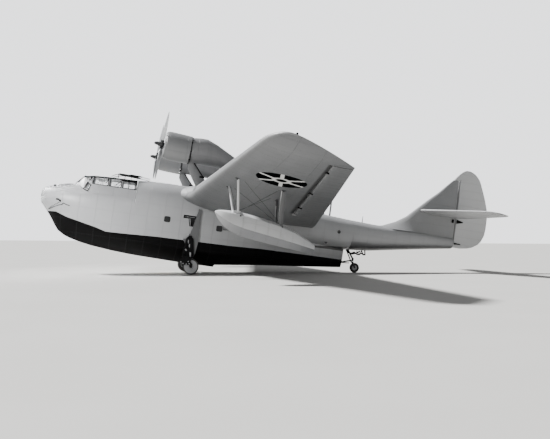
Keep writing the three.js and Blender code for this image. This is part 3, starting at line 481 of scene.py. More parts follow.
# Station, sill half-beam and height, roof half-beam and height.
CANOPY_ROWS = [
    (5.42, 0.30, 2.90, 0.23, 3.225), (5.33, 0.62, 2.90, 0.42, 3.29), (4.99, 1.00, 2.90, 0.65, 3.605),
    (4.62, 1.11, 2.90, 0.75, 3.665), (4.00, 1.15, 2.90, 0.79, 3.70), (2.761, 1.17, 2.90, 0.79, 3.735),
]
ROOF_ROUND = 0.07
WINDOW_TOP, WINDOW_SILL = 3.63, 3.30
WINDOW_BARS = [
    [(4.985, 3.02), (4.78, 2.95), (4.69, 3.245), (4.85, 3.335), (4.985, 3.02)],
    [(4.635, WINDOW_SILL), (3.985, WINDOW_SILL)],
    [(4.64, 3.31), (4.605, 3.60)],
    [(3.985, WINDOW_SILL), (3.985, 3.60)],
    [(3.925, WINDOW_SILL), (3.435, WINDOW_SILL)],
    [(3.925, WINDOW_SILL), (3.925, 3.62)],
    [(3.435, WINDOW_SILL), (3.435, 3.62)],
    [(3.375, WINDOW_SILL), (2.845, WINDOW_SILL)],
    [(3.375, WINDOW_SILL), (3.375, WINDOW_TOP)],
    [(2.845, WINDOW_SILL), (2.845, WINDOW_TOP)],
    [(3.97, 3.65), (4.08, 3.40)],
    [(3.46, 3.60), (3.67, 3.365)],
    [(3.13, 3.60), (3.11, 3.31)],
    [(2.94, WINDOW_SILL), (2.76, 3.335)],
]
# The heavier edge strips, each with its radius.
EDGE_STRIPS = [
    ([(3.45, 3.645), (2.79, 3.635)], 0.034),
    ([(4.765, 3.43), (4.67, 3.63)], 0.030),
    ([(2.80, 3.62), (2.79, 3.50)], 0.024),
]


def canopy_side(x, z, side=1, proud=0.006):
    """A point on one side of the enclosure, or on the frame behind it."""
    row = row_at(CANOPY_ROWS, x)
    if not row:
        return (x, side * 1.0, z)
    sill_y, sill_z, roof_y, roof_z = row
    edge_z = roof_z - ROOF_ROUND * (roof_z - sill_z)
    if z > edge_z:
        over = (z - edge_z) / (roof_z - edge_z)
        return (x, side * (roof_y * (1 - 0.1 * over) + proud), z + proud)
    return (x, side * (sill_y + (roof_y - sill_y) * (z - sill_z) / (edge_z - sill_z) + proud), z)


frame_lacquer = lacquered_sheet("grey lacquered window frames", "#9b9c9d", "#8a8b8d", plain_seams(0.62))
skin("cockpit_enclosure", frame_lacquer)
skin("cockpit_glazing", clear_sheet("clear cellulose sheet", "#e3e7e9", 0.12))
# The bars and edge strips are flat black: painted shade along the window frames.
shape = bmesh.new()
for side in (1, -1):
    for bar in WINDOW_BARS:
        rail(shape, [canopy_side(x, z, side) for x, z in bar], 0.015, 6)
    for strip, radius in EDGE_STRIPS:
        rail(shape, [canopy_side(x, z, side) for x, z in strip], radius)
    edge = []
    for x in (4.99, 4.62, 4.0, 3.4, 2.78):
        edge_z = row_at(CANOPY_ROWS, x)[3] - ROOF_ROUND * 0.8
        edge.append((x, side * (canopy_side(x, edge_z - 0.01)[1] + 0.004), edge_z + 0.012))
    rail(shape, edge, 0.027)
    rail(shape, [(5.32, side * 0.40, 3.29), (4.99, side * 0.655, 3.60)], 0.016)
    rail(shape, [(5.33, side * 0.58, 3.10), (5.00, side * 0.93, 3.04)], 0.010, 6)
rail(shape, [(5.345, 0.0, 3.285), (5.01, 0.0, 3.612)], 0.016)
rail(shape, [(4.985, 0.62, 3.618), (4.985, -0.62, 3.618)], 0.016)
rail(shape, [(5.345, 0.40, 3.275), (5.345, -0.40, 3.275)], 0.014)
make_piece(shape, "window_bars", shade_and_flat_black, slot="bare_metal")

# Roof hatches
# Framed hatches over the pilots slide back on raised rails. They stand half open, dark edged, and are
# drawn as one flat black panel: painted shade in the open hatchway.
RAIL_Y = 0.52
RAIL_RUN = [(3.92, RAIL_Y, 3.75), (3.75, RAIL_Y, 3.86), (3.45, RAIL_Y, 3.935), (3.10, RAIL_Y, 3.935),
            (2.66, RAIL_Y, 3.915), (2.25, 0.50, 3.885)]
shape = bmesh.new()
for side in (1, -1):
    rail(shape, [(x, side * y, z) for x, y, z in RAIL_RUN], 0.014, 6)
    rail(shape, [(3.12, side * RAIL_Y, 3.945), (2.62, side * RAIL_Y, 3.925)], 0.030)
    for x in (3.62, 3.34, 3.05, 2.80):
        rod(shape, (x, side * RAIL_Y, 3.70), (x, side * RAIL_Y, 3.92), 0.010, sides=6)
for x in (3.62, 2.72):
    rail(shape, [(x, RAIL_Y, 3.925), (x, -RAIL_Y, 3.925)], 0.012, 6)
# The hatch panel is flat black: painted shade of the open hatchway.
block(shape, (3.17, 0.0, 3.945), (0.86, 0.96, 0.014), 0.006)
make_piece(shape, "roof_hatch_rails", shade_and_flat_black, slot="bare_metal")

# Cockpit fittings
# Two pressed alloy bucket seats, the instrument panel with its dials, yokes on a beam, and the
# throttle box hanging from the roof. All painted matt black or grey-green, seen dimly through the glass.
SEAT_Y = 0.48
SEAT_LEAN, PANEL_LEAN = (Matrix.Rotation(math.radians(turn), 4, "Y") for turn in (-9, 12))
dull_green = dark_steel("zinc chromate primer", "#6d7361", "#5a5f50", 0.6, 0.0)
# Black paint is the cockpit fittings' own colour, and painted shade in aileron slots, cowl linings and leg
# recesses.
shade_and_black_paint = dark_steel("black paint and painted shade", "#232425", "#141516", 0.6, 0.0)
light_steel = dark_steel("cadmium plated steel", "#a8a9aa", "#808183", 0.4, 0.7)
shape = bmesh.new()
for y in (SEAT_Y, -SEAT_Y):
    block(shape, (3.95, y, 2.52), (0.44, 0.44, 0.05), 0.02)
    block(shape, (3.71, y, 2.86), (0.05, 0.44, 0.66), 0.02, SEAT_LEAN)
    for edge in (1, -1):
        block(shape, (3.93, y + edge * 0.215, 2.60), (0.42, 0.02, 0.16), 0.008)
    for x in (3.95 - 0.16, 3.95 + 0.16):
        rod(shape, (x, y, 2.17), (x, y, 2.50), 0.025)
make_piece(shape, "pilot_seats", dull_green)
shape = bmesh.new()
block(shape, (4.86, 0.0, 2.90), (0.04, 1.50, 0.42), 0.015, PANEL_LEAN)
rod(shape, (4.42, -0.72, 2.62), (4.42, 0.72, 2.62), 0.035)
for y in (SEAT_Y, -SEAT_Y):
    rod(shape, (4.42, y, 2.62), (4.38, y, 2.92), 0.02)
    wheel_rim = [(-0.014, 0.155), (0.0, 0.17), (0.014, 0.155)]
    lathe(shape, wheel_rim, (4.36, y, 2.94), (1, 0, 0.2), 24, closed=True)
    rod(shape, (4.365, y - 0.15, 2.94), (4.365, y + 0.15, 2.94), 0.012, sides=6)
block(shape, (4.30, 0.0, 3.55), (0.30, 0.16, 0.10), 0.02)
for y in (-0.05, -0.02, 0.02, 0.05):
    rod(shape, (4.28, y, 3.50), (4.24, y, 3.38), 0.006, sides=6)
make_piece(shape, "cockpit_controls", shade_and_black_paint, slot="engine_metal")
shape = bmesh.new()
for x, z in ((4.834, 2.98), (4.834 - 0.03, 2.83)):
    for step in range(9):
        lathe(shape, [(0.0, 0.0), (0.004, 0.046), (0.012, 0.05), (0.012, 0.058), (-0.01, 0.06)],
              (x, -0.60 + step * 0.15, z), (-1, 0, 0.21), 16)
make_piece(shape, "instrument_dials", light_steel, slot="bare_metal")

# Bow hatch and gun station
# The round bow lid is a domed pressing on one hinge. The rear hood is a sheet-metal shell that slides
# aft over the open station, where a gun ring and a folded seat show. A whip mast stands behind it.
STATION_X, RING_INNER, RING_OUTER = -6.21, 0.30, 0.335
skin("bow_hatch", lacquered_sheet("grey lacquered hatch pressing", "#9e9fa0", "#8e8f91", plain_seams(0.30)))
skin("gunner_hood", lacquered_sheet("grey lacquered hood shell", "#9e9fa0", "#8e8f91", plain_seams(0.26)))
shape = bmesh.new()
lathe(shape, [(0.0, RING_INNER), (0.03, RING_INNER), (0.03, RING_OUTER), (0.0, RING_OUTER)],
      (STATION_X, 0.0, 3.44), (0.066, 0, 1), 36, closed=True)
make_piece(shape, "gun_ring", shade_and_flat_black, slot="engine_metal")
shape = bmesh.new()
block(shape, (STATION_X, 0.0, 2.92), (0.34, 0.40, 0.06), 0.02)
rod(shape, (STATION_X, 0.0, 2.76), (STATION_X, 0.0, 2.90), 0.05)
rod(shape, (-6.50, 0.18, 3.30), (-6.10, 0.10, 3.30), 0.03)
make_piece(shape, "gunner_seat", dull_green)
skin("aerial_mast", light_steel)
shape = bmesh.new()
rod(shape, (-7.83, 0.0, 3.40), (-7.83, 0.0, 3.72), 0.026, 0.012, 10)
block(shape, (-7.83, 0.0, 3.41), (0.12, 0.08, 0.02), 0.006)
make_piece(shape, "signal_mast", light_steel, slot="bare_metal")

# Wing
# All-metal: smooth sheet ahead of the rear spar and ribbed covering aft of it, sprayed grey, with fine
# chordwise rib lines. Each panel carries a plain dark disc with six light spokes and a light ring.
BREAK_Y, SEMI_SPAN = 2.6, 14.48
LEAD_X, LEAD_Y, LEAD_Z = 0.69, 1.1, 3.43
SWEEP, DIHEDRAL = 0.0804, 0.087
ROOT_CHORD, TAPER = 5.865, 0.2529
CENTRE_LEAD, CENTRE_CHORD = 0.778, 6.143
ROOT_INCIDENCE, TIP_INCIDENCE = 6.43, 8.1
ROOT_THICK, TIP_THICK = 0.18, 0.145
CAMBER, CAMBER_AT = 0.02, 0.3
SKIN_PROUD = 0.0025
RIB_PITCH = 0.42
DISC_X, DISC_Y, DISC_RADIUS = -1.665, 10.18, 0.83
SLOT_MIDDLE_Y, SLOT_HALF_SPAN = 9.16, 4.16


def wing_half(share):
    """Half-thickness of the wing's section at a share of the chord, for a thickness of one."""
    return 5 * (0.2969 * math.sqrt(share) - 0.126 * share - 0.3516 * share ** 2
                + 0.2843 * share ** 3 - 0.1036 * share ** 4)


def wing_chord(y):
    """Leading edge and chord of the straight wing at a place along the span."""
    return LEAD_X - SWEEP * (abs(y) - LEAD_Y), ROOT_CHORD - TAPER * (abs(y) - LEAD_Y)


def wing_surface(y, share, side):
    """A point at a share of the straight chord on the upper (1), middle (0) or lower (-1) side."""
    out = max(0.0, abs(y) - BREAK_Y)
    blend = out / (SEMI_SPAN - BREAK_Y)
    lead, chord = wing_chord(y)
    incidence = ROOT_INCIDENCE + (TIP_INCIDENCE - ROOT_INCIDENCE) * blend
    thick = ROOT_THICK + (TIP_THICK - ROOT_THICK) * blend
    m, p, t = CAMBER, CAMBER_AT, share
    if t < p:
        bow = (m / p ** 2) * (2 * p * t - t * t)
    else:
        bow = (m / (1 - p) ** 2) * (1 - 2 * p + 2 * p * t - t * t)
    plane = LEAD_Z + DIHEDRAL * out - t * chord * math.tan(math.radians(incidence))
    rise = side * (wing_half(t) * thick * chord + SKIN_PROUD)
    return Vector((lead - t * chord, y, plane + bow * chord + rise))


def chord_share(node, x, y):
    """Distance out from the centre line, and the share of the chord behind the leading edge."""
    span = node("Math", [y], operation="ABSOLUTE")
    lead = node("Math", [span, -SWEEP, CENTRE_LEAD], operation="MULTIPLY_ADD")
    back = node("Math", [lead, x], operation="SUBTRACT")
    chord = node("Math", [span, -TAPER, CENTRE_CHORD], operation="MULTIPLY_ADD")
    return span, node("Math", [back, chord], operation="DIVIDE")


def wing_seams(node, x, y, z):
    span, share = chord_share(node, x, y)
    ribs = node("Math", [stripe(node, span, RIB_PITCH, 0.008), 0.5], operation="MULTIPLY")
    spars = node("Math", [stripe(node, share, 0.32, 0.0022), 0.8], operation="MULTIPLY")
    heads = dots(node, span, x, RIB_PITCH * 2, 0.028)
    return node("Math", [ribs, spars], operation="MAXIMUM"), heads


# The below colour is painted shade on the wing's undersides.
def wing_finish(name):
    return lacquered_sheet(name, "#9b9c9d", "#8d8e8f", wing_seams, line=0.5, below="#a3a4a6")


def spoked_disc(node, x, span):
    """A mask of the disc, and its light spokes and ring."""
    dx = node("Math", [x, DISC_X], operation="SUBTRACT")
    dy = node("Math", [span, DISC_Y], operation="SUBTRACT")
    dx_square = node("Math", [dx, dx], operation="MULTIPLY")
    square = node("Math", [dy, dy, dx_square], operation="MULTIPLY_ADD")
    radius = node("Math", [square], operation="SQRT")
    spokes = 0.0
    for third in range(3):
        turn = 0.35 + third * math.pi / 3
        part = node("Math", [dy, -math.cos(turn)], operation="MULTIPLY")
        across = node("Math", [dx, math.sin(turn), part], operation="MULTIPLY_ADD")
        across = node("Math", [across], operation="ABSOLUTE")
        bar = node("MapRange", [across, 0.055, 0.068, 1.0, 0.0])
        spokes = node("Math", [spokes, bar], operation="MAXIMUM")
    clear = node("MapRange", [radius, 0.20, 0.215, 0.0, 1.0])
    spokes = node("Math", [spokes, clear], operation="MULTIPLY")
    inside = node("MapRange", [radius, DISC_RADIUS, DISC_RADIUS + 0.015, 1.0, 0.0])
    return inside, node("Math", [spokes, stripe(node, radius, 2.0, 0.07, 0.25)], operation="MAXIMUM")


def mark_panel(finish):
    """Paint the disc on the panel, and painted shade on the underside ahead of the aileron slot."""
    node, shader, place = open_finish(finish)
    x, y, z = datum_axes(node, place)
    span, share = chord_share(node, x, y)
    inside, light = spoked_disc(node, x, span)
    lacquer = shader.inputs["Base Color"].links[0].from_socket
    disc = node("Mix", {0: light, 6: "#050607", 7: "#c9c9c8"}, 2, data_type="RGBA")
    marked = node("Mix", {0: inside, 6: lacquer, 7: disc}, 2, data_type="RGBA")
    # Painted shade on the underside just ahead of the aileron slot.
    near_slot = node("MapRange", [share, 0.724, 0.748, 0.0, 0.93], interpolation_type="SMOOTHSTEP")
    off_middle = node("Math", [span, SLOT_MIDDLE_Y], operation="SUBTRACT")
    off_middle = node("Math", [off_middle], operation="ABSOLUTE")
    reach = node("MapRange", [off_middle, SLOT_HALF_SPAN, SLOT_HALF_SPAN + 0.08, 1.0, 0.0])
    facing = node("SeparateXYZ", [place.node.outputs["Normal"]], "Z")
    under = node("MapRange", [facing, -0.1, -0.4, 0.0, 1.0])
    slot_shade = node("Math", [near_slot, reach], operation="MULTIPLY")
    slot_shade = node("Math", [slot_shade, under], operation="MULTIPLY")
    slot_shaded_colour = node("Mix", {0: slot_shade, 6: marked, 7: "#0d0d0e"}, 2, data_type="RGBA")
    sheen = node("MapRange", [inside, 0.0, 1.0, 0.4, 0.0])
    fill(shader, {"Base Color": slot_shaded_colour, "Specular IOR Level": sheen})
    return finish


panel_finish = mark_panel(wing_finish("ribbed wing covering"))
root_finish = wing_finish("smooth wing root sheet")
for side in ("left", "right"):
    skin("wing_panel_" + side, panel_finish, angle=50)
    skin("wing_root_" + side, root_finish, angle=50)
    skin("wing_tip_" + side, root_finish, angle=50)


# Ailerons
# Hinged sheet-metal ribs under doped fabric. The wing's rear wall and upper lip leave an open slot ahead
# of each one, its wall painted black as shade in the slot, and it hangs on three forged brackets.
def doped_fabric(name, light, dark, axis, pitch, below="#ffffff", line=0.22):
    """Doped fabric over ribs: slightly scalloped between the ribs, with a taped line along each one."""
    def seams(node, x, y, z):
        run = {"x": x, "y": y, "z": z}[axis]
        return stripe(node, run, pitch, 0.012), stripe(node, run, pitch, 0.035)
    return lacquered_sheet(name, light, dark, seams, roughness=0.5, relief=0.01, line=line, below=below)


def plate(shape, outline, offset):
    """A flat sheet from its outline, thickened by the offset vector."""
    face = shape.faces.new([shape.verts.new(point) for point in outline])
    made = bmesh.ops.extrude_face_region(shape, geom=[face])
    moved = [v for v in made["geom"] if isinstance(v, bmesh.types.BMVert)]
    bmesh.ops.translate(shape, verts=moved, vec=offset)


def join_loops(shape, loops, ends):
    """Bridge closed loops of edges in turn, and close each end from its own vertices or edges."""
    for first, second in zip(loops, loops[1:]):
        bmesh.ops.bridge_loops(shape, edges=first + second)
    for end in ends:
        bmesh.ops.contextual_create(shape, geom=end)


# The below colour is painted shade on the ailerons' undersides.
aileron_fabric = doped_fabric("silver doped aileron fabric", "#999a9a", "#8a8b8d", "y", RIB_PITCH, "#a3a4a6")
AILERON_INNER, AILERON_OUTER = 4.56, 13.23
SLOT_WALL, SLOT_LIP = 0.760, 0.7765
WALL_STEPS, WALL_GAP = 12, 0.02
BRACKET_PLACES = (6.3, 9.15, 12.35)
for side, body in ((1, "left"), (-1, "right")):
    skin("aileron_" + body, aileron_fabric, angle=50)
    # The slot wall is black: painted shade inside the aileron slot.
    shape = bmesh.new()
    rows, loops = [], []
    for step in range(WALL_STEPS + 1):
        y = AILERON_INNER + WALL_GAP + step * (AILERON_OUTER - AILERON_INNER - 2 * WALL_GAP) / WALL_STEPS
        low, high = (wing_surface(side * y, SLOT_WALL, height) for height in (-0.97, 0.86))
        roof = wing_surface(side * y, SLOT_LIP, 0.84)
        skinned = Vector((-0.006, 0, -0.006))
        outline = (low, low + Vector((-0.008, 0, 0)), high + skinned, roof + skinned, roof, high)
        row = [shape.verts.new(point) for point in outline]
        rows.append(row)
        loops.append([shape.edges.new(pair) for pair in zip(row, row[1:] + row[:1])])
    join_loops(shape, loops, (rows[0], rows[-1]))
    make_piece(shape, "aileron_slot_wall_" + body, shade_and_black_paint, slot="engine_metal")
    shape = bmesh.new()
    for y in BRACKET_PLACES:
        root = wing_surface(side * y, SLOT_WALL - 0.004, -1.0)
        knee = wing_surface(side * y, 0.792, -1.0) + Vector((0, 0, -0.035))
        hinge = wing_surface(side * y, 0.804, -0.9)
        plate(shape, [root + Vector((0.02, -0.008, -0.003)), root + Vector((-0.01, -0.008, 0.05)),
                      hinge + Vector((0.02, -0.008, 0.0)), knee + Vector((-0.02, -0.008, 0.0)),
                      knee + Vector((0.02, -0.008, 0.004))], Vector((0, 0.016, 0)))
    make_piece(shape, "aileron_brackets_" + body, shade_and_flat_black, slot="engine_metal")
    shape = bmesh.new()
    tip = Vector((-1.07, side * 14.40, 4.50))
    rod(shape, tip + Vector((0, side * -0.10, -0.02)), tip + Vector((0, side * 0.04, 0.02)), 0.05, 0.03, 12)
    make_piece(shape, "wing_tip_light_" + body, window_pane, slot="glazing")

# Engines
# A fourteen-cylinder two-row radial: cast crankcase with a domed nose, finned barrels and heads,
# pushrod tubes, an ignition ring, and the exhaust collector and mount ring behind. Dark oily alloy.
HUB_X, ENGINE_Y, HUB_Z = 1.91, 2.54, 5.23
THRUST_RISE = math.radians(3.6)
THRUST = Vector((math.cos(THRUST_RISE), 0.0, math.sin(THRUST_RISE)))
CYLINDERS = 14
FRONT_ROW, REAR_ROW = -0.40, -0.62
FIN_PITCH, BARREL, HEAD_START = 0.021, 0.066, 0.34
COLLECTOR = -0.86
# Along the thrust line, and radius.
CRANKCASE = [
    (0.085, 0.0), (0.085, 0.06), (0.02, 0.085), (-0.06, 0.12), (-0.14, 0.17), (-0.20, 0.205),
    (-0.225, 0.235), (-0.25, 0.235), (-0.26, 0.215), (-0.33, 0.23), (-0.34, 0.285), (-0.46, 0.285),
    (-0.47, 0.262), (-0.56, 0.262), (-0.57, 0.285), (-0.68, 0.285), (-0.70, 0.25), (-0.90, 0.24),
    (-1.0, 0.30), (-1.10, 0.30), (-1.10, 0.0),
]
steel = dark_steel("dark painted steel")
cylinder_alloy = dark_steel("oil-stained cylinder alloy", "#6a6b6c", "#303132", 0.45, 0.7)
crankcase_paint = dark_steel("grey enamelled crankcase", "#83868a", "#63666a", 0.4, 0.2)
burnt_steel = dark_steel("heat-stained exhaust steel", "#5b4f47", "#2c2825", 0.55, 0.7)


def engine_frame(side):
    """The propeller's centre, and a function for a point along the thrust line from it."""
    hub = Vector((HUB_X, side * ENGINE_Y, HUB_Z))
    return hub, lambda along: hub + THRUST * along


def spoke(angle):
    """A direction square to the thrust line, from upright towards port."""
    upright = math.cos(angle)
    return Vector((-math.sin(THRUST_RISE) * upright, math.sin(angle), math.cos(THRUST_RISE) * upright))


def cylinder_places(place):
    """Each cylinder's angle, its own direction, the one across it, and its foot on the thrust line."""
    for k in range(CYLINDERS):
        angle = math.pi / CYLINDERS + k * 2 * math.pi / CYLINDERS
        yield angle, spoke(angle), spoke(angle + math.pi / 2), place(REAR_ROW if k % 2 else FRONT_ROW)


def finned_barrel():
    """The profile of a cylinder: flange, finned barrel, wider finned head, domed top."""
    profile = [(0.20, 0.0), (0.20, BARREL)]
    for step in range(15):
        start = 0.215 + step * FIN_PITCH
        wide = 0.088 if start < HEAD_START else 0.104 - 0.02 * max(0.0, (start - 0.45) / 0.08)
        profile += [(start, BARREL), (start + 0.002, wide), (start + 0.008, wide), (start + 0.010, BARREL)]
    return profile + [(0.535, 0.060), (0.548, 0.03), (0.55, 0.0)]


def ring(shape, centre, radius, inner, outer, half, steps):
    """A ring of diamond section about the thrust line."""
    section = [(0.0, inner), (half, radius), (0.0, outer), (-half, radius)]
    lathe(shape, section, centre, THRUST, steps, closed=True)


for side, name in ((1, "left"), (-1, "right")):
    hub, place = engine_frame(side)
    shape = bmesh.new()
    for angle, out, across, base in cylinder_places(place):
        lathe(shape, finned_barrel(), base, out, 14)
    make_piece(shape, "engine_cylinders_" + name, cylinder_alloy, slot="engine_metal", angle=60)

    shape = bmesh.new()
    lathe(shape, CRANKCASE, hub, THRUST, 40)
    for angle, out, across, base in cylinder_places(place):
        for lean in (-1, 1):
            tip = base + out * 0.50 + THRUST * 0.095 + across * lean * 0.05
            block(shape, tip + out * 0.012, (0.075, 0.05, 0.06), 0.012, Matrix.Rotation(-angle, 4, "X"))
    for k in range(9):
        out = spoke(k * 2 * math.pi / 9)
        rod(shape, place(-0.205) + out * 0.19, place(-0.185) + out * 0.19, 0.014, sides=6)
    make_piece(shape, "engine_crankcase_" + name, crankcase_paint, slot="engine_metal")

    shape = bmesh.new()
    for angle, out, across, base in cylinder_places(place):
        for lean in (-1, 1):
            rod(shape, place(-0.27) + out * 0.22 + across * lean * 0.04,
                base + out * 0.495 + THRUST * 0.095 + across * lean * 0.05, 0.011, sides=6)
        rod(shape, place(-0.245) + out * 0.245, base + out * 0.46 + THRUST * 0.10, 0.006, sides=5)
    ring(shape, place(-0.245), 0.25, 0.24, 0.262, 0.012, 32)
    make_piece(shape, "engine_pushrods_" + name, light_steel, slot="bare_metal")

    shape = bmesh.new()
    ring(shape, place(COLLECTOR), 0.445, 0.40, 0.49, 0.045, 40)
    ring(shape, place(-1.03), 0.35, 0.33, 0.37, 0.022, 32)
    for k, (angle, out, across, base) in enumerate(cylinder_places(place)):
        port = place(-0.69 if k % 2 else -0.47)
        rod(shape, port + out * 0.44, place(COLLECTOR) + out * 0.445, 0.028, sides=8)
    make_piece(shape, "engine_exhausts_" + name, burnt_steel, slot="engine_metal")

    shape = bmesh.new()
    for k in range(7):
        out = spoke(2 * math.pi * (k + 0.25) / 7)
        rod(shape, place(COLLECTOR) + out * 0.15, place(COLLECTOR) + out * 0.566, 0.014, sides=8)
        rod(shape, place(-1.02) + out * 0.34, place(-1.06) + out * 0.50, 0.016, sides=8)
    mount = make_piece(shape, "engine_mount_" + name, steel, slot="engine_metal")
    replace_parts(mount, "engine_" + name)


# Engine cowls and nacelles
# A ring cowl of spun sheet stands clear of the nacelle, with a dark cooling gap and its latches
# between. The nacelle is sheet metal over a firewall, on a broad pylon and a pair of rear struts.
def ring_seams(spacing, second):
    def seams(node, x, y, z):
        rings = stripe(node, x, spacing, SEAM_WIDTH, 0.14)
        laps = stripe(node, z, second, SEAM_WIDTH, 0.37)
        return node("Math", [rings, laps], operation="MAXIMUM"), dots(node, x, z, spacing, 0.03)
    return seams


COWL_LINING = [(-1.055, 0.573), (-1.03, 0.573), (-0.66, 0.568), (-0.25, 0.566),
               (-0.25, 0.560), (-0.66, 0.562), (-1.03, 0.566), (-1.055, 0.568)]
cowl_lacquer = lacquered_sheet(
    "grey lacquered cowl ring", "#868788", "#78797a", ring_seams(0.86, 0.92), roughness=0.36)
# The below colour is painted shade on the nacelles' undersides.
nacelle_lacquer = lacquered_sheet(
    "grey lacquered nacelle sheet", "#868687", "#757678", ring_seams(0.40, 0.51), stain=0.5, below="#c9cacb")
for side, name in ((1, "left"), (-1, "right")):
    hub, place = engine_frame(side)
    skin("engine_cowl_" + name, cowl_lacquer, angle=60)
    for node in ("nacelle_", "nacelle_pylon_", "nacelle_rear_struts_"):
        skin(node + name, nacelle_lacquer, angle=60)
    # The lining inside the cowl is black: painted shade in the cooling gap.
    shape = bmesh.new()
    lathe(shape, COWL_LINING, hub, THRUST, 48, closed=True)
    make_piece(shape, "cowl_inner_lining_" + name, shade_and_black_paint, slot="engine_metal")
    shape = bmesh.new()
    block(shape, (0.803, side * ENGINE_Y, 5.18), (0.012, 0.92, 0.92), 0.004)
    make_piece(shape, "firewall_" + name, steel, slot="engine_metal")
    shape = bmesh.new()
    for k in range(9):
        out = spoke(0.35 + k * 2 * math.pi / 9)
        start = place(-1.045) + out * 0.552
        rod(shape, start, start - THRUST * 0.07 - out * 0.02, 0.036, 0.024, 8)
    make_piece(shape, "cowl_latches_" + name, shade_and_flat_black, slot="engine_metal")
    # Flat black strips down each pylon's rear edge, with blocks at their feet: painted shade.
    shape = bmesh.new()
    for edge in (1, -1):
        foot_y = side * ENGINE_Y + edge * 0.06
        rail(shape, [(0.60, side * ENGINE_Y + edge * 0.07, 4.66), (0.11, foot_y, 4.09)], 0.022)
        block(shape, (0.20, foot_y, 4.13), (0.20, 0.05, 0.07), 0.012)
    make_piece(shape, "pylon_shade_strips_" + name, shade_and_flat_black, slot="engine_metal")


# Propellers
# Three forged alloy blades clamped in a steel hub with a long pitch-change dome. The blades are
# polished by the air, with fine streaks.
def blade_metal():
    """Forged alloy polished by the air: bright, with cloudy streaks in its gloss."""
    finish, node, shader, place = new_finish("polished forged alloy")
    streaks = node("TexNoise", {"Vector": place, "Scale": 9.0, "Detail": 6.0})
    tone = node("Mix", {0: streaks, 6: "#b3b5b7", 7: "#d5d7d9"}, 2, data_type="RGBA")
    rough = node("MapRange", [streaks, 0.0, 1.0, 0.25, 0.45])
    fill(shader, {"Base Color": tone, "Roughness": rough, "Metallic": 0.55})
    return finish


blade_finish = blade_metal()
BLADE_CENTRE = 0.11
# Radius, half-width, half-thickness, and pitch in degrees.
BLADE_ROWS = [
    (0.07, 0.050, 0.050, 60), (0.16, 0.050, 0.050, 60), (0.24, 0.052, 0.048, 58),
    (0.36, 0.080, 0.030, 52), (0.48, 0.097, 0.022, 46), (0.60, 0.105, 0.019, 42),
    (0.75, 0.109, 0.016, 37), (0.90, 0.110, 0.013, 33), (1.05, 0.106, 0.011, 30),
    (1.20, 0.098, 0.009, 27), (1.32, 0.088, 0.008, 25), (1.43, 0.074, 0.007, 23),
    (1.52, 0.055, 0.0055, 22), (1.575, 0.037, 0.0045, 21), (1.605, 0.020, 0.004, 20),
    (1.618, 0.006, 0.003, 20),
]
HUB = [
    (0.026, 0.0), (0.026, 0.088), (0.06, 0.108), (0.16, 0.108), (0.19, 0.092), (0.21, 0.086),
    (0.22, 0.078), (0.33, 0.076), (0.335, 0.066), (0.40, 0.058), (0.42, 0.036), (0.44, 0.025), (0.44, 0.0),
]
CLAMP = [
    (0.09, 0.0), (0.09, 0.066), (0.15, 0.066), (0.155, 0.074), (0.185, 0.074), (0.19, 0.06),
    (0.23, 0.056), (0.23, 0.0),
]


def blade(shape, root, out):
    """One blade: ellipses along its length, each turned to its pitch."""
    across = THRUST.cross(out)
    loops = []
    for radius, half, thin, pitch in BLADE_ROWS:
        turn = math.radians(pitch)
        wide = across * math.cos(turn) + THRUST * math.sin(turn)
        normal = THRUST * math.cos(turn) - across * math.sin(turn)
        matrix = Matrix((wide * half, normal * thin, out)).transposed().to_4x4()
        matrix.translation = root + out * radius
        circle = bmesh.ops.create_circle(shape, cap_ends=False, segments=14, radius=1.0, matrix=matrix)
        loops.append(list({e for v in circle["verts"] for e in v.link_edges}))
    join_loops(shape, loops, (loops[0], loops[-1]))


for side, name, first in ((1, "left", 162), (-1, "right", 135)):
    hub, place = engine_frame(side)
    turns = [first, first + 120, first + 240]
    shape = bmesh.new()
    for turn in turns:
        blade(shape, place(BLADE_CENTRE), spoke(math.radians(turn)))
    blades = make_piece(
        shape, "propeller_blades_" + name, blade_finish, "propeller_" + name, "bare_metal", angle=60)
    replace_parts(blades, "propeller_" + name)
    shape = bmesh.new()
    lathe(shape, HUB, hub, THRUST, 28)
    for turn in turns:
        lathe(shape, CLAMP, place(BLADE_CENTRE), spoke(math.radians(turn)), 20)
        weight = place(0.20) + spoke(math.radians(turn + 32)) * 0.075
        block(shape, weight, (0.10, 0.05, 0.05), 0.012)
    make_piece(shape, "propeller_hub_" + name, steel, "propeller_" + name, "engine_metal")


# Floats
# Riveted light alloy with a keel and a hard chine, lacquered like the hull. Each hangs on two pairs of
# streamlined tubes with crossed steel wires, pinned to fittings under the wing.
def float_seams(node, x, y, z):
    laps = node("Math", [stripe(node, y, 0.4, 0.005), 0.4], operation="MULTIPLY")
    rings = stripe(node, x, 0.45, 0.006)
    return node("Math", [rings, laps], operation="MAXIMUM"), dots(node, x, z, 0.45, 0.026)


# The float lacquer is lighter than the hull's as painted sunlight on top, and darker below as painted shade.
painted_light_float_finish = lacquered_sheet(
    "float lacquer lightened as painted sunlight", "#d6d7d8", "#c7c8c9", float_seams, below="#86878a")
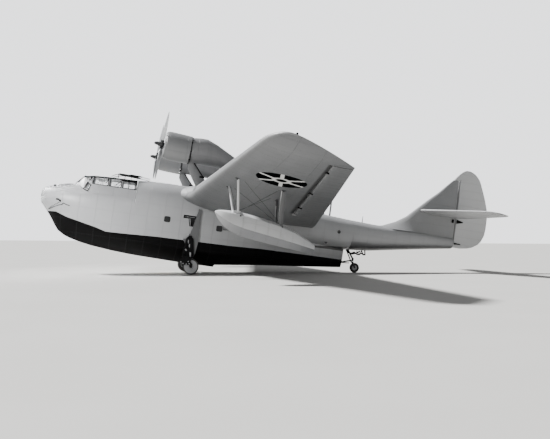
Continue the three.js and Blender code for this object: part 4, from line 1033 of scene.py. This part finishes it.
# Front struts are pale as painted light and rear struts dark as painted shade, from one strut lacquer.
strut_seams = plain_seams(1.4, "z")
painted_light_strut_finish = lacquered_sheet(
    "strut tube lacquer with painted light", "#cfd0d1", "#bfc0c1", strut_seams, line=0.2)
painted_shade_strut_finish = lacquered_sheet("strut tube lacquer with painted shade", "#5e5f60", "#555657", strut_seams, line=0.2)
INNER_FRONT, OUTER_FRONT = (-0.62, 7.83, 2.60), (-0.70, 8.17, 2.60)
INNER_REAR, OUTER_REAR = (-2.20, 7.83, 2.42), (-2.22, 8.17, 2.42)
WING_INNER_FRONT, WING_OUTER_FRONT = (-0.40, 7.17, 3.60), (-0.46, 8.78, 3.83)
WING_INNER_REAR, WING_OUTER_REAR = (-2.24, 6.98, 3.46), (-2.10, 8.82, 3.63)
FLOAT_WIRES = [
    (INNER_FRONT, WING_INNER_REAR), (INNER_REAR, WING_INNER_FRONT), (OUTER_FRONT, WING_OUTER_REAR),
    (OUTER_REAR, WING_OUTER_FRONT), (INNER_FRONT, WING_OUTER_FRONT), (OUTER_FRONT, WING_INNER_FRONT),
    (INNER_REAR, WING_OUTER_REAR), (OUTER_REAR, WING_INNER_REAR),
]
FLOAT_FEET = [(-0.38, 7.15), (-0.44, 8.80), (-2.24, 6.95), (-2.06, 8.85)]
FOOT_PIN = [(-0.05, 0.0), (-0.05, 0.022), (0.05, 0.022), (0.05, 0.0)]
FLOAT_VENT = [(0.0, 0.0), (0.0, 0.03), (0.012, 0.026), (0.014, 0.0)]
for side, name in ((1, "left"), (-1, "right")):
    mirror = Vector((1, side, 1))
    skin("float_" + name, painted_light_float_finish, angle=28)
    skin("float_struts_front_" + name, painted_light_strut_finish, angle=40)
    skin("float_struts_rear_" + name, painted_shade_strut_finish, angle=40)
    shape = bmesh.new()
    for start, end in FLOAT_WIRES:
        rod(shape, mirror * Vector(start), mirror * Vector(end), 0.006, sides=6)
    for x, y in FLOAT_FEET:
        lead, chord = wing_chord(y)
        foot = wing_surface(side * y, (lead - x) / chord, -1.0)
        block(shape, foot + Vector((0, 0, -0.008)), (0.15, 0.10, 0.018), 0.006)
        lathe(shape, FOOT_PIN, foot + Vector((0, 0, -0.04)), (0, 1, 0), 12)
    make_piece(shape, "float_wires_" + name, steel, slot="bare_metal")
    # Thin pale rods along the rear struts' front edges: painted highlights.
    shape = bmesh.new()
    rod(shape, (-2.155, side * 8.19, 2.47), (-1.985, side * 8.84, 3.60), 0.014, sides=8)
    rod(shape, (-2.11, side * 7.80, 2.47), (-2.17, side * 7.28, 3.06), 0.012, sides=8)
    make_piece(shape, "float_strut_painted_highlights_" + name, painted_light_strut_finish)
    shape = bmesh.new()
    lathe(shape, FLOAT_VENT, (-0.79, side * 8.325, 2.475), (0, side, 0.35), 12)
    lathe(shape, FLOAT_VENT, (-2.30, side * 8.30, 2.30), (0, side, 0.6), 12)
    make_piece(shape, "float_vents_" + name, steel, slot="bare_metal")

# Fin, rudder and tailplane
# Fin and tailplane are sheet metal, with a bead where the fin flares into the boom. The rudder and the
# elevators are doped fabric over ribs. The rudder's nose lies in shade, behind a thin gap strip.
NOSE_X, NOSE_TOP = -12.481, 6.11
FIN_ROOT, FIN_ABOVE = (3.30, -8.30, -13.95), (3.43, -8.85, -14.02)
BEAD_STEPS, BEAD_START, BEAD_PITCH = 16, -8.75, 0.228


def shade_nose(finish):
    """Dim the rudder's nose, which the fin's rear edge keeps out of the light."""
    node, shader, place = open_finish(finish)
    x, y, z = datum_axes(node, place)
    before = node("Math", [x, -NOSE_X], operation="ADD")
    under = node("Math", [NOSE_TOP, z], operation="SUBTRACT")
    inside = node("Math", [before, under], operation="MINIMUM")
    shade = node("MapRange", [inside, -0.007, 0.0, 0.0, 0.9])
    fabric = shader.inputs["Base Color"].links[0].from_socket
    fill(shader, {"Base Color": node("Mix", {0: shade, 6: fabric, 7: "#38393a"}, 2, data_type="RGBA")})
    return finish


def fin_side(x, z):
    """Half-thickness of the fin with its root flare."""
    share = (z - FIN_ROOT[0]) / (FIN_ABOVE[0] - FIN_ROOT[0])
    lead, trail = (a + (b - a) * share for a, b in zip(FIN_ROOT[1:], FIN_ABOVE[1:]))
    t = min(1.0, max(0.0, (lead - x) / (lead - trail)))
    height = min(1.0, max(0.0, z - FIN_ROOT[0]))
    flare = (0.52 - 0.46 * (FIN_ROOT[1] - x) / 4.15) * (1 - height) ** 2.6 * math.sqrt(min(1.0, 5 * t))
    return wing_half(t) * 0.085 * min(lead - trail, 4.2) + 0.003 + flare


fin_lacquer = lacquered_sheet(
    "grey lacquered fin sheet", "#8f9091", "#818283", plain_seams(0.48, "z"), stain=0.25, line=0.08)
rudder_fabric = shade_nose(
    doped_fabric("silver doped rudder fabric", "#c4c5c5", "#b7b8b9", "z", 0.38, line=0.08))
elevator_fabric = doped_fabric("silver doped elevator fabric", "#9c9d9e", "#8e8e90", "y", 0.40)
tailplane_lacquer = lacquered_sheet(
    "grey lacquered tailplane sheet", "#9d9e9e", "#8e8e90", plain_seams(0.45, "y"))
skin("fin", fin_lacquer, angle=50)
shape = bmesh.new()
for side in (1, -1):
    joint = []
    for step in range(BEAD_STEPS + 1):
        x = BEAD_START - step * BEAD_PITCH
        low, high = 2.90, 3.42
        for halving in range(18):
            z = (low + high) / 2
            if boom_side(x, z) > fin_side(x, z):
                low = z
            else:
                high = z
        joint.append((x, side * (fin_side(x, z) - 0.002), z + 0.003))
    rail(shape, joint, 0.012)
make_piece(shape, "fin_root_bead", fin_lacquer, angle=80)
shape = bmesh.new()
block(shape, (-12.450, 0.0, 4.52), (0.036, 0.010, 3.16))
make_piece(shape, "rudder_gap_strip", fin_lacquer)
skin("rudder", rudder_fabric, angle=50)
for name in ("left", "right"):
    skin("tailplane_" + name, tailplane_lacquer, angle=50)
    skin("elevator_" + name, elevator_fabric, angle=50)
shape = bmesh.new()
for z, tall in ((3.08, 0.06), (4.12, 0.16)):
    for y in (0.20, -0.20):
        block(shape, (-12.30, y, z), (0.10, 0.026, tall), 0.008)
make_piece(shape, "rudder_hinge_fittings", shade_and_flat_black, slot="engine_metal")
shape = bmesh.new()
for z, tall in ((3.05, 0.04), (4.12, 0.10)):
    for y in (0.18, -0.18):
        plate(shape, [(-12.50, y, z - tall), (-12.84, y * 0.9, z - 0.02), (-12.84, y * 0.9, z + 0.02),
                      (-12.50, y, z + tall)], (0, math.copysign(0.02, y), 0))
make_piece(shape, "rudder_horns", shade_and_flat_black, "rudder", "engine_metal")


# Main undercarriage
# A faired leg and a shock strut end in a black forged yoke that holds the covered wheel. They fold into a
# T-shaped recess with thin plate covers and bright tubes. The tyre is smooth, with three moulded grooves.
def moulded_rubber(name):
    """Moulded tyre rubber: matt near-black with a dusty bloom."""
    finish, node, shader, place = new_finish(name)
    dust = node("TexNoise", {"Vector": place, "Scale": 11.0, "Detail": 6.0})
    tone = node("Mix", {0: dust, 6: "#1b1b1c", 7: "#353433"}, 2, data_type="RGBA")
    bump = node("Bump", {"Height": dust, "Distance": 0.002, "Strength": 0.5})
    fill(shader, {"Base Color": tone, "Normal": bump, "Roughness": 0.82})
    return finish


tyre_rubber = moulded_rubber("moulded tyre rubber")


def tyre(node, centre, radius, width, rim, body):
    """A round-shouldered tyre with three tread grooves and a bead ring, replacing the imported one."""
    h, wall = width / 2, radius - rim
    section = [(-h * 0.62, rim), (-h * 0.80, rim + 0.012), (-h * 0.90, rim + wall * 0.2),
               (-h * 0.965, rim + wall * 0.42), (-h * 0.95, rim + wall * 0.62),
               (-h * 0.86, rim + wall * 0.80), (-h * 0.72, radius - 0.018), (-h * 0.55, radius - 0.006)]
    far = [(-along, out) for along, out in reversed(section)]
    for groove in (-0.36, 0.0, 0.36):
        section += [(h * groove - 0.007, radius - 0.001), (h * groove - 0.004, radius - 0.009),
                    (h * groove + 0.004, radius - 0.009), (h * groove + 0.007, radius - 0.001)]
    shape = bmesh.new()
    lathe(shape, section + far, (0, 0, 0), (0, 1, 0), 64, closed=True)
    bmesh.ops.translate(shape, verts=shape.verts, vec=centre)
    piece = make_piece(shape, node + "_moulding", tyre_rubber, body, "rubber", level=False, angle=40)
    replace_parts(piece, node)


# Radius, width and rim radius.
MAIN_TYRE = (0.349, 0.22, 0.205)
WHEEL_X, WHEEL_Y, WHEEL_Z = 4.1157, 1.52, 0.3485
BOLTS, BOLT_CIRCLE, BOLT_FACE = 8, 0.10, 0.124
LEVEL_WHEEL_X, LEVEL_WHEEL_Z = 0.0457, 0.347
STRUT_Y, YOKE_Y, CHEEK_Y, FORK_Y, RECESS_Y = 1.385, 1.40, 1.358, 1.680, 1.215
COVER_Y, COVER_THICK = 1.250, 0.011
YOKE_ARMS = [
    ([(0.24, YOKE_Y, 1.62), (0.34, YOKE_Y, 1.50), (0.375, YOKE_Y, 1.05), (0.42, 1.395, 0.75)], 0.055),
    ([(0.24, YOKE_Y, 1.62), (0.12, YOKE_Y, 1.48), (0.05, YOKE_Y, 1.05), (0.01, 1.395, 0.75)], 0.058),
]
YOKE_CHEEK = [(0.33, 1.56), (0.15, 1.58), (0.06, 1.05), (0.01, 0.74), (0.42, 0.74), (0.385, 1.02)]
YOKE_FORK = [(0.46, 0.76), (0.51, 0.52), (0.40, 0.38), (0.13, 0.40), (0.10, 0.30), (0.0, 0.30), (0.0, 0.45),
             (0.09, 0.56), (0.06, 0.76)]
FORK_BOLTS = ((0.50, 0.50), (0.40, 0.44), (0.26, 0.43), (0.14, 0.46), (0.19, 0.55))
# Start, end, radius and sides of each tube: bright ones on the leg and in the recess, the black sleeve.
LEG_TUBES = [((0.125, STRUT_Y, 0.95), (0.065, STRUT_Y, 0.42), 0.036, 16),
             ((0.21, 1.42, 1.30), (0.20, 1.42, 1.16), 0.025, 10),
             ((0.37, 1.45, 1.06), (0.30, 1.45, 1.00), 0.034, 10),
             ((0.29, 1.43, 1.47), (0.27, 1.43, 1.32), 0.020, 10)]
RECESS_TUBES = [((0.33, RECESS_Y, 2.40), (0.275, RECESS_Y, 2.12), 0.022, 10),
                ((0.275, RECESS_Y, 2.12), (0.22, 1.20, 2.06), 0.018, 10),
                ((0.12, 1.14, 2.47), (0.56, 1.14, 2.46), 0.014, 10)]
SLEEVE = [((0.225, STRUT_Y, 1.66), (0.125, STRUT_Y, 0.95), 0.058, 16),
          ((0.20, STRUT_Y, 1.40), (0.19, STRUT_Y, 1.33), 0.068, 16),
          ((0.17, STRUT_Y, 1.02), (0.165, STRUT_Y, 0.95), 0.068, 16)]
# The covers leave the T open: above, below, ahead of the stem, behind it, and at the bar's rear end.
RECESS_COVERS = [
    [(0.041, 2.53), (0.619, 2.53), (0.619, 2.599), (0.041, 2.599)],
    [(0.041, 1.961), (0.619, 1.961), (0.619, 2.06), (0.041, 2.06)],
    [(0.041, 2.06), (0.150, 2.06), (0.105, 2.385), (0.041, 2.385)],
    [(0.315, 2.06), (0.619, 2.06), (0.619, 2.385), (0.395, 2.385)],
    [(0.041, 2.385), (0.06, 2.385), (0.06, 2.53), (0.041, 2.53)],
]


def tubes(shape, runs, side):
    for start, end, radius, sides in runs:
        rod(shape, *(Vector((1, side, 1)) * Vector(point) for point in (start, end)), radius, sides=sides)


def side_plate(shape, outline, y, side, thick):
    """A plate that stands upright along the aircraft, thickened outboard."""
    plate(shape, [(x, side * y, z) for x, z in outline], (0, side * thick, 0))


# The leg fairing's lacquer is darkened as painted shade under the wing root.
painted_shade_leg_finish = lacquered_sheet(
    "leg fairing lacquer darkened as painted shade", "#58595a", "#4e4f50", plain_seams(0.52, "z"), line=0.25)
for side, name in ((1, "left"), (-1, "right")):
    skin("main_leg_" + name, painted_shade_leg_finish, angle=40)
    hub = (WHEEL_X, side * WHEEL_Y, WHEEL_Z)
    tyre("main_tyre_" + name, hub, *MAIN_TYRE, "main_wheel_" + name)
    cover = lacquered_sheet("grey lacquered wheel cover " + name, "#858687", "#777879", plain_seams(4.0))
    skin("main_wheel_" + name, cover, angle=30)
    shape = bmesh.new()
    lathe(shape, [(0.127, 0.0), (0.135, 0.02), (0.133, 0.05), (0.124, 0.06)], hub, (0, side, 0), 24)
    for k in range(BOLTS):
        turn = k * 2 * math.pi / BOLTS
        bolt = (WHEEL_X + BOLT_CIRCLE * math.sin(turn), side * (WHEEL_Y + BOLT_FACE),
                WHEEL_Z + BOLT_CIRCLE * math.cos(turn))
        lathe(shape, [(0.0, 0.011), (0.010, 0.011), (0.012, 0.0)], bolt, (0, side, 0), 6)
    make_piece(shape, "wheel_hub_cap_" + name, steel, "main_wheel_" + name, "engine_metal", level=False)
for side, name in ((1, "left"), (-1, "right")):
    shape = bmesh.new()
    lathe(shape, [(0.0, 0.155), (0.02, 0.17), (0.045, 0.17), (0.05, 0.05)],
          (LEVEL_WHEEL_X, side * 1.362, LEVEL_WHEEL_Z), (0, side, 0), 28)
    tubes(shape, SLEEVE, side)
    make_piece(shape, "shock_strut_sleeve_" + name, shade_and_flat_black, slot="engine_metal")
    shape = bmesh.new()
    for arm, radius in YOKE_ARMS:
        rail(shape, [(x, side * y, z) for x, y, z in arm], radius)
    side_plate(shape, YOKE_CHEEK, CHEEK_Y, side, 0.012)
    block(shape, (0.215, side * 1.535, 0.735), (0.50, 0.36, 0.05), 0.015)
    side_plate(shape, YOKE_FORK, FORK_Y, side, 0.024)
    make_piece(shape, "wheel_yoke_" + name, shade_and_flat_black, slot="engine_metal")
    shape = bmesh.new()
    tubes(shape, LEG_TUBES, side)
    for x, z in FORK_BOLTS:
        rod(shape, (x, side * 1.703, z), (x, side * 1.722, z), 0.026)
    make_piece(shape, "shock_strut_piston_" + name, light_steel, slot="bare_metal")
    shape = bmesh.new()
    tubes(shape, RECESS_TUBES, side)
    make_piece(shape, "leg_recess_gear_" + name, light_steel, slot="bare_metal")
    # The recess's back wall is black: painted shade inside the recess.
    shape = bmesh.new()
    block(shape, (0.33, side * 1.068, 2.28), (0.56, 0.010, 0.62), 0.003)
    make_piece(shape, "leg_recess_back_" + name, shade_and_black_paint, slot="engine_metal")
    shape = bmesh.new()
    for cover in RECESS_COVERS:
        side_plate(shape, cover, COVER_Y, side, COVER_THICK)
    make_piece(shape, "leg_recess_covers_" + name, grey_lacquer)

# Tail wheel
# A castoring wheel in a forged fork, under a braced bracket on the stern, with a hanging tow gear of
# rods and shackles behind. Black and oily.
TOW_GEAR = [
    ([(-7.23, 0.0, 2.02), (-7.33, 0.0, 1.94), (-7.54, 0.0, 1.88), (-7.73, 0.0, 1.95),
      (-7.91, 0.0, 2.05)], 0.036),
    ([(-7.95, 0.10, 2.10), (-8.04, 0.06, 1.94), (-8.18, 0.0, 1.92), (-8.16, -0.06, 2.12)], 0.030),
    ([(-7.72, 0.06, 2.06), (-7.84, 0.05, 1.87), (-7.92, 0.05, 1.90), (-7.95, 0.05, 2.08)], 0.016),
    ([(-7.30, 0.08, 2.00), (-7.45, 0.08, 1.90), (-7.60, 0.08, 1.98), (-7.76, 0.08, 1.88),
      (-7.95, 0.08, 1.97), (-8.10, 0.08, 1.90)], 0.028),
]
TAIL_AXLE = (-3.7143, 0.0, 0.2285)
TAIL_TYRE = (0.229, 0.13, 0.12)
for node in ("tail_bracket", "tail_fork"):
    skin(node, steel, angle=40)
tyre("tail_tyre", TAIL_AXLE, *TAIL_TYRE, "tail_wheel")
skin("tail_wheel", light_steel)
shape = bmesh.new()
for bend, radius in TOW_GEAR:
    rail(shape, bend, radius)
rod(shape, (-7.23, 0.0, 2.05), (-7.54, 0.0, 1.50), 0.028)
rod(shape, (-7.05, 0.0, 1.41), (-7.45, 0.0, 1.44), 0.022)
make_piece(shape, "tail_gear_rods", shade_and_flat_black, slot="engine_metal")
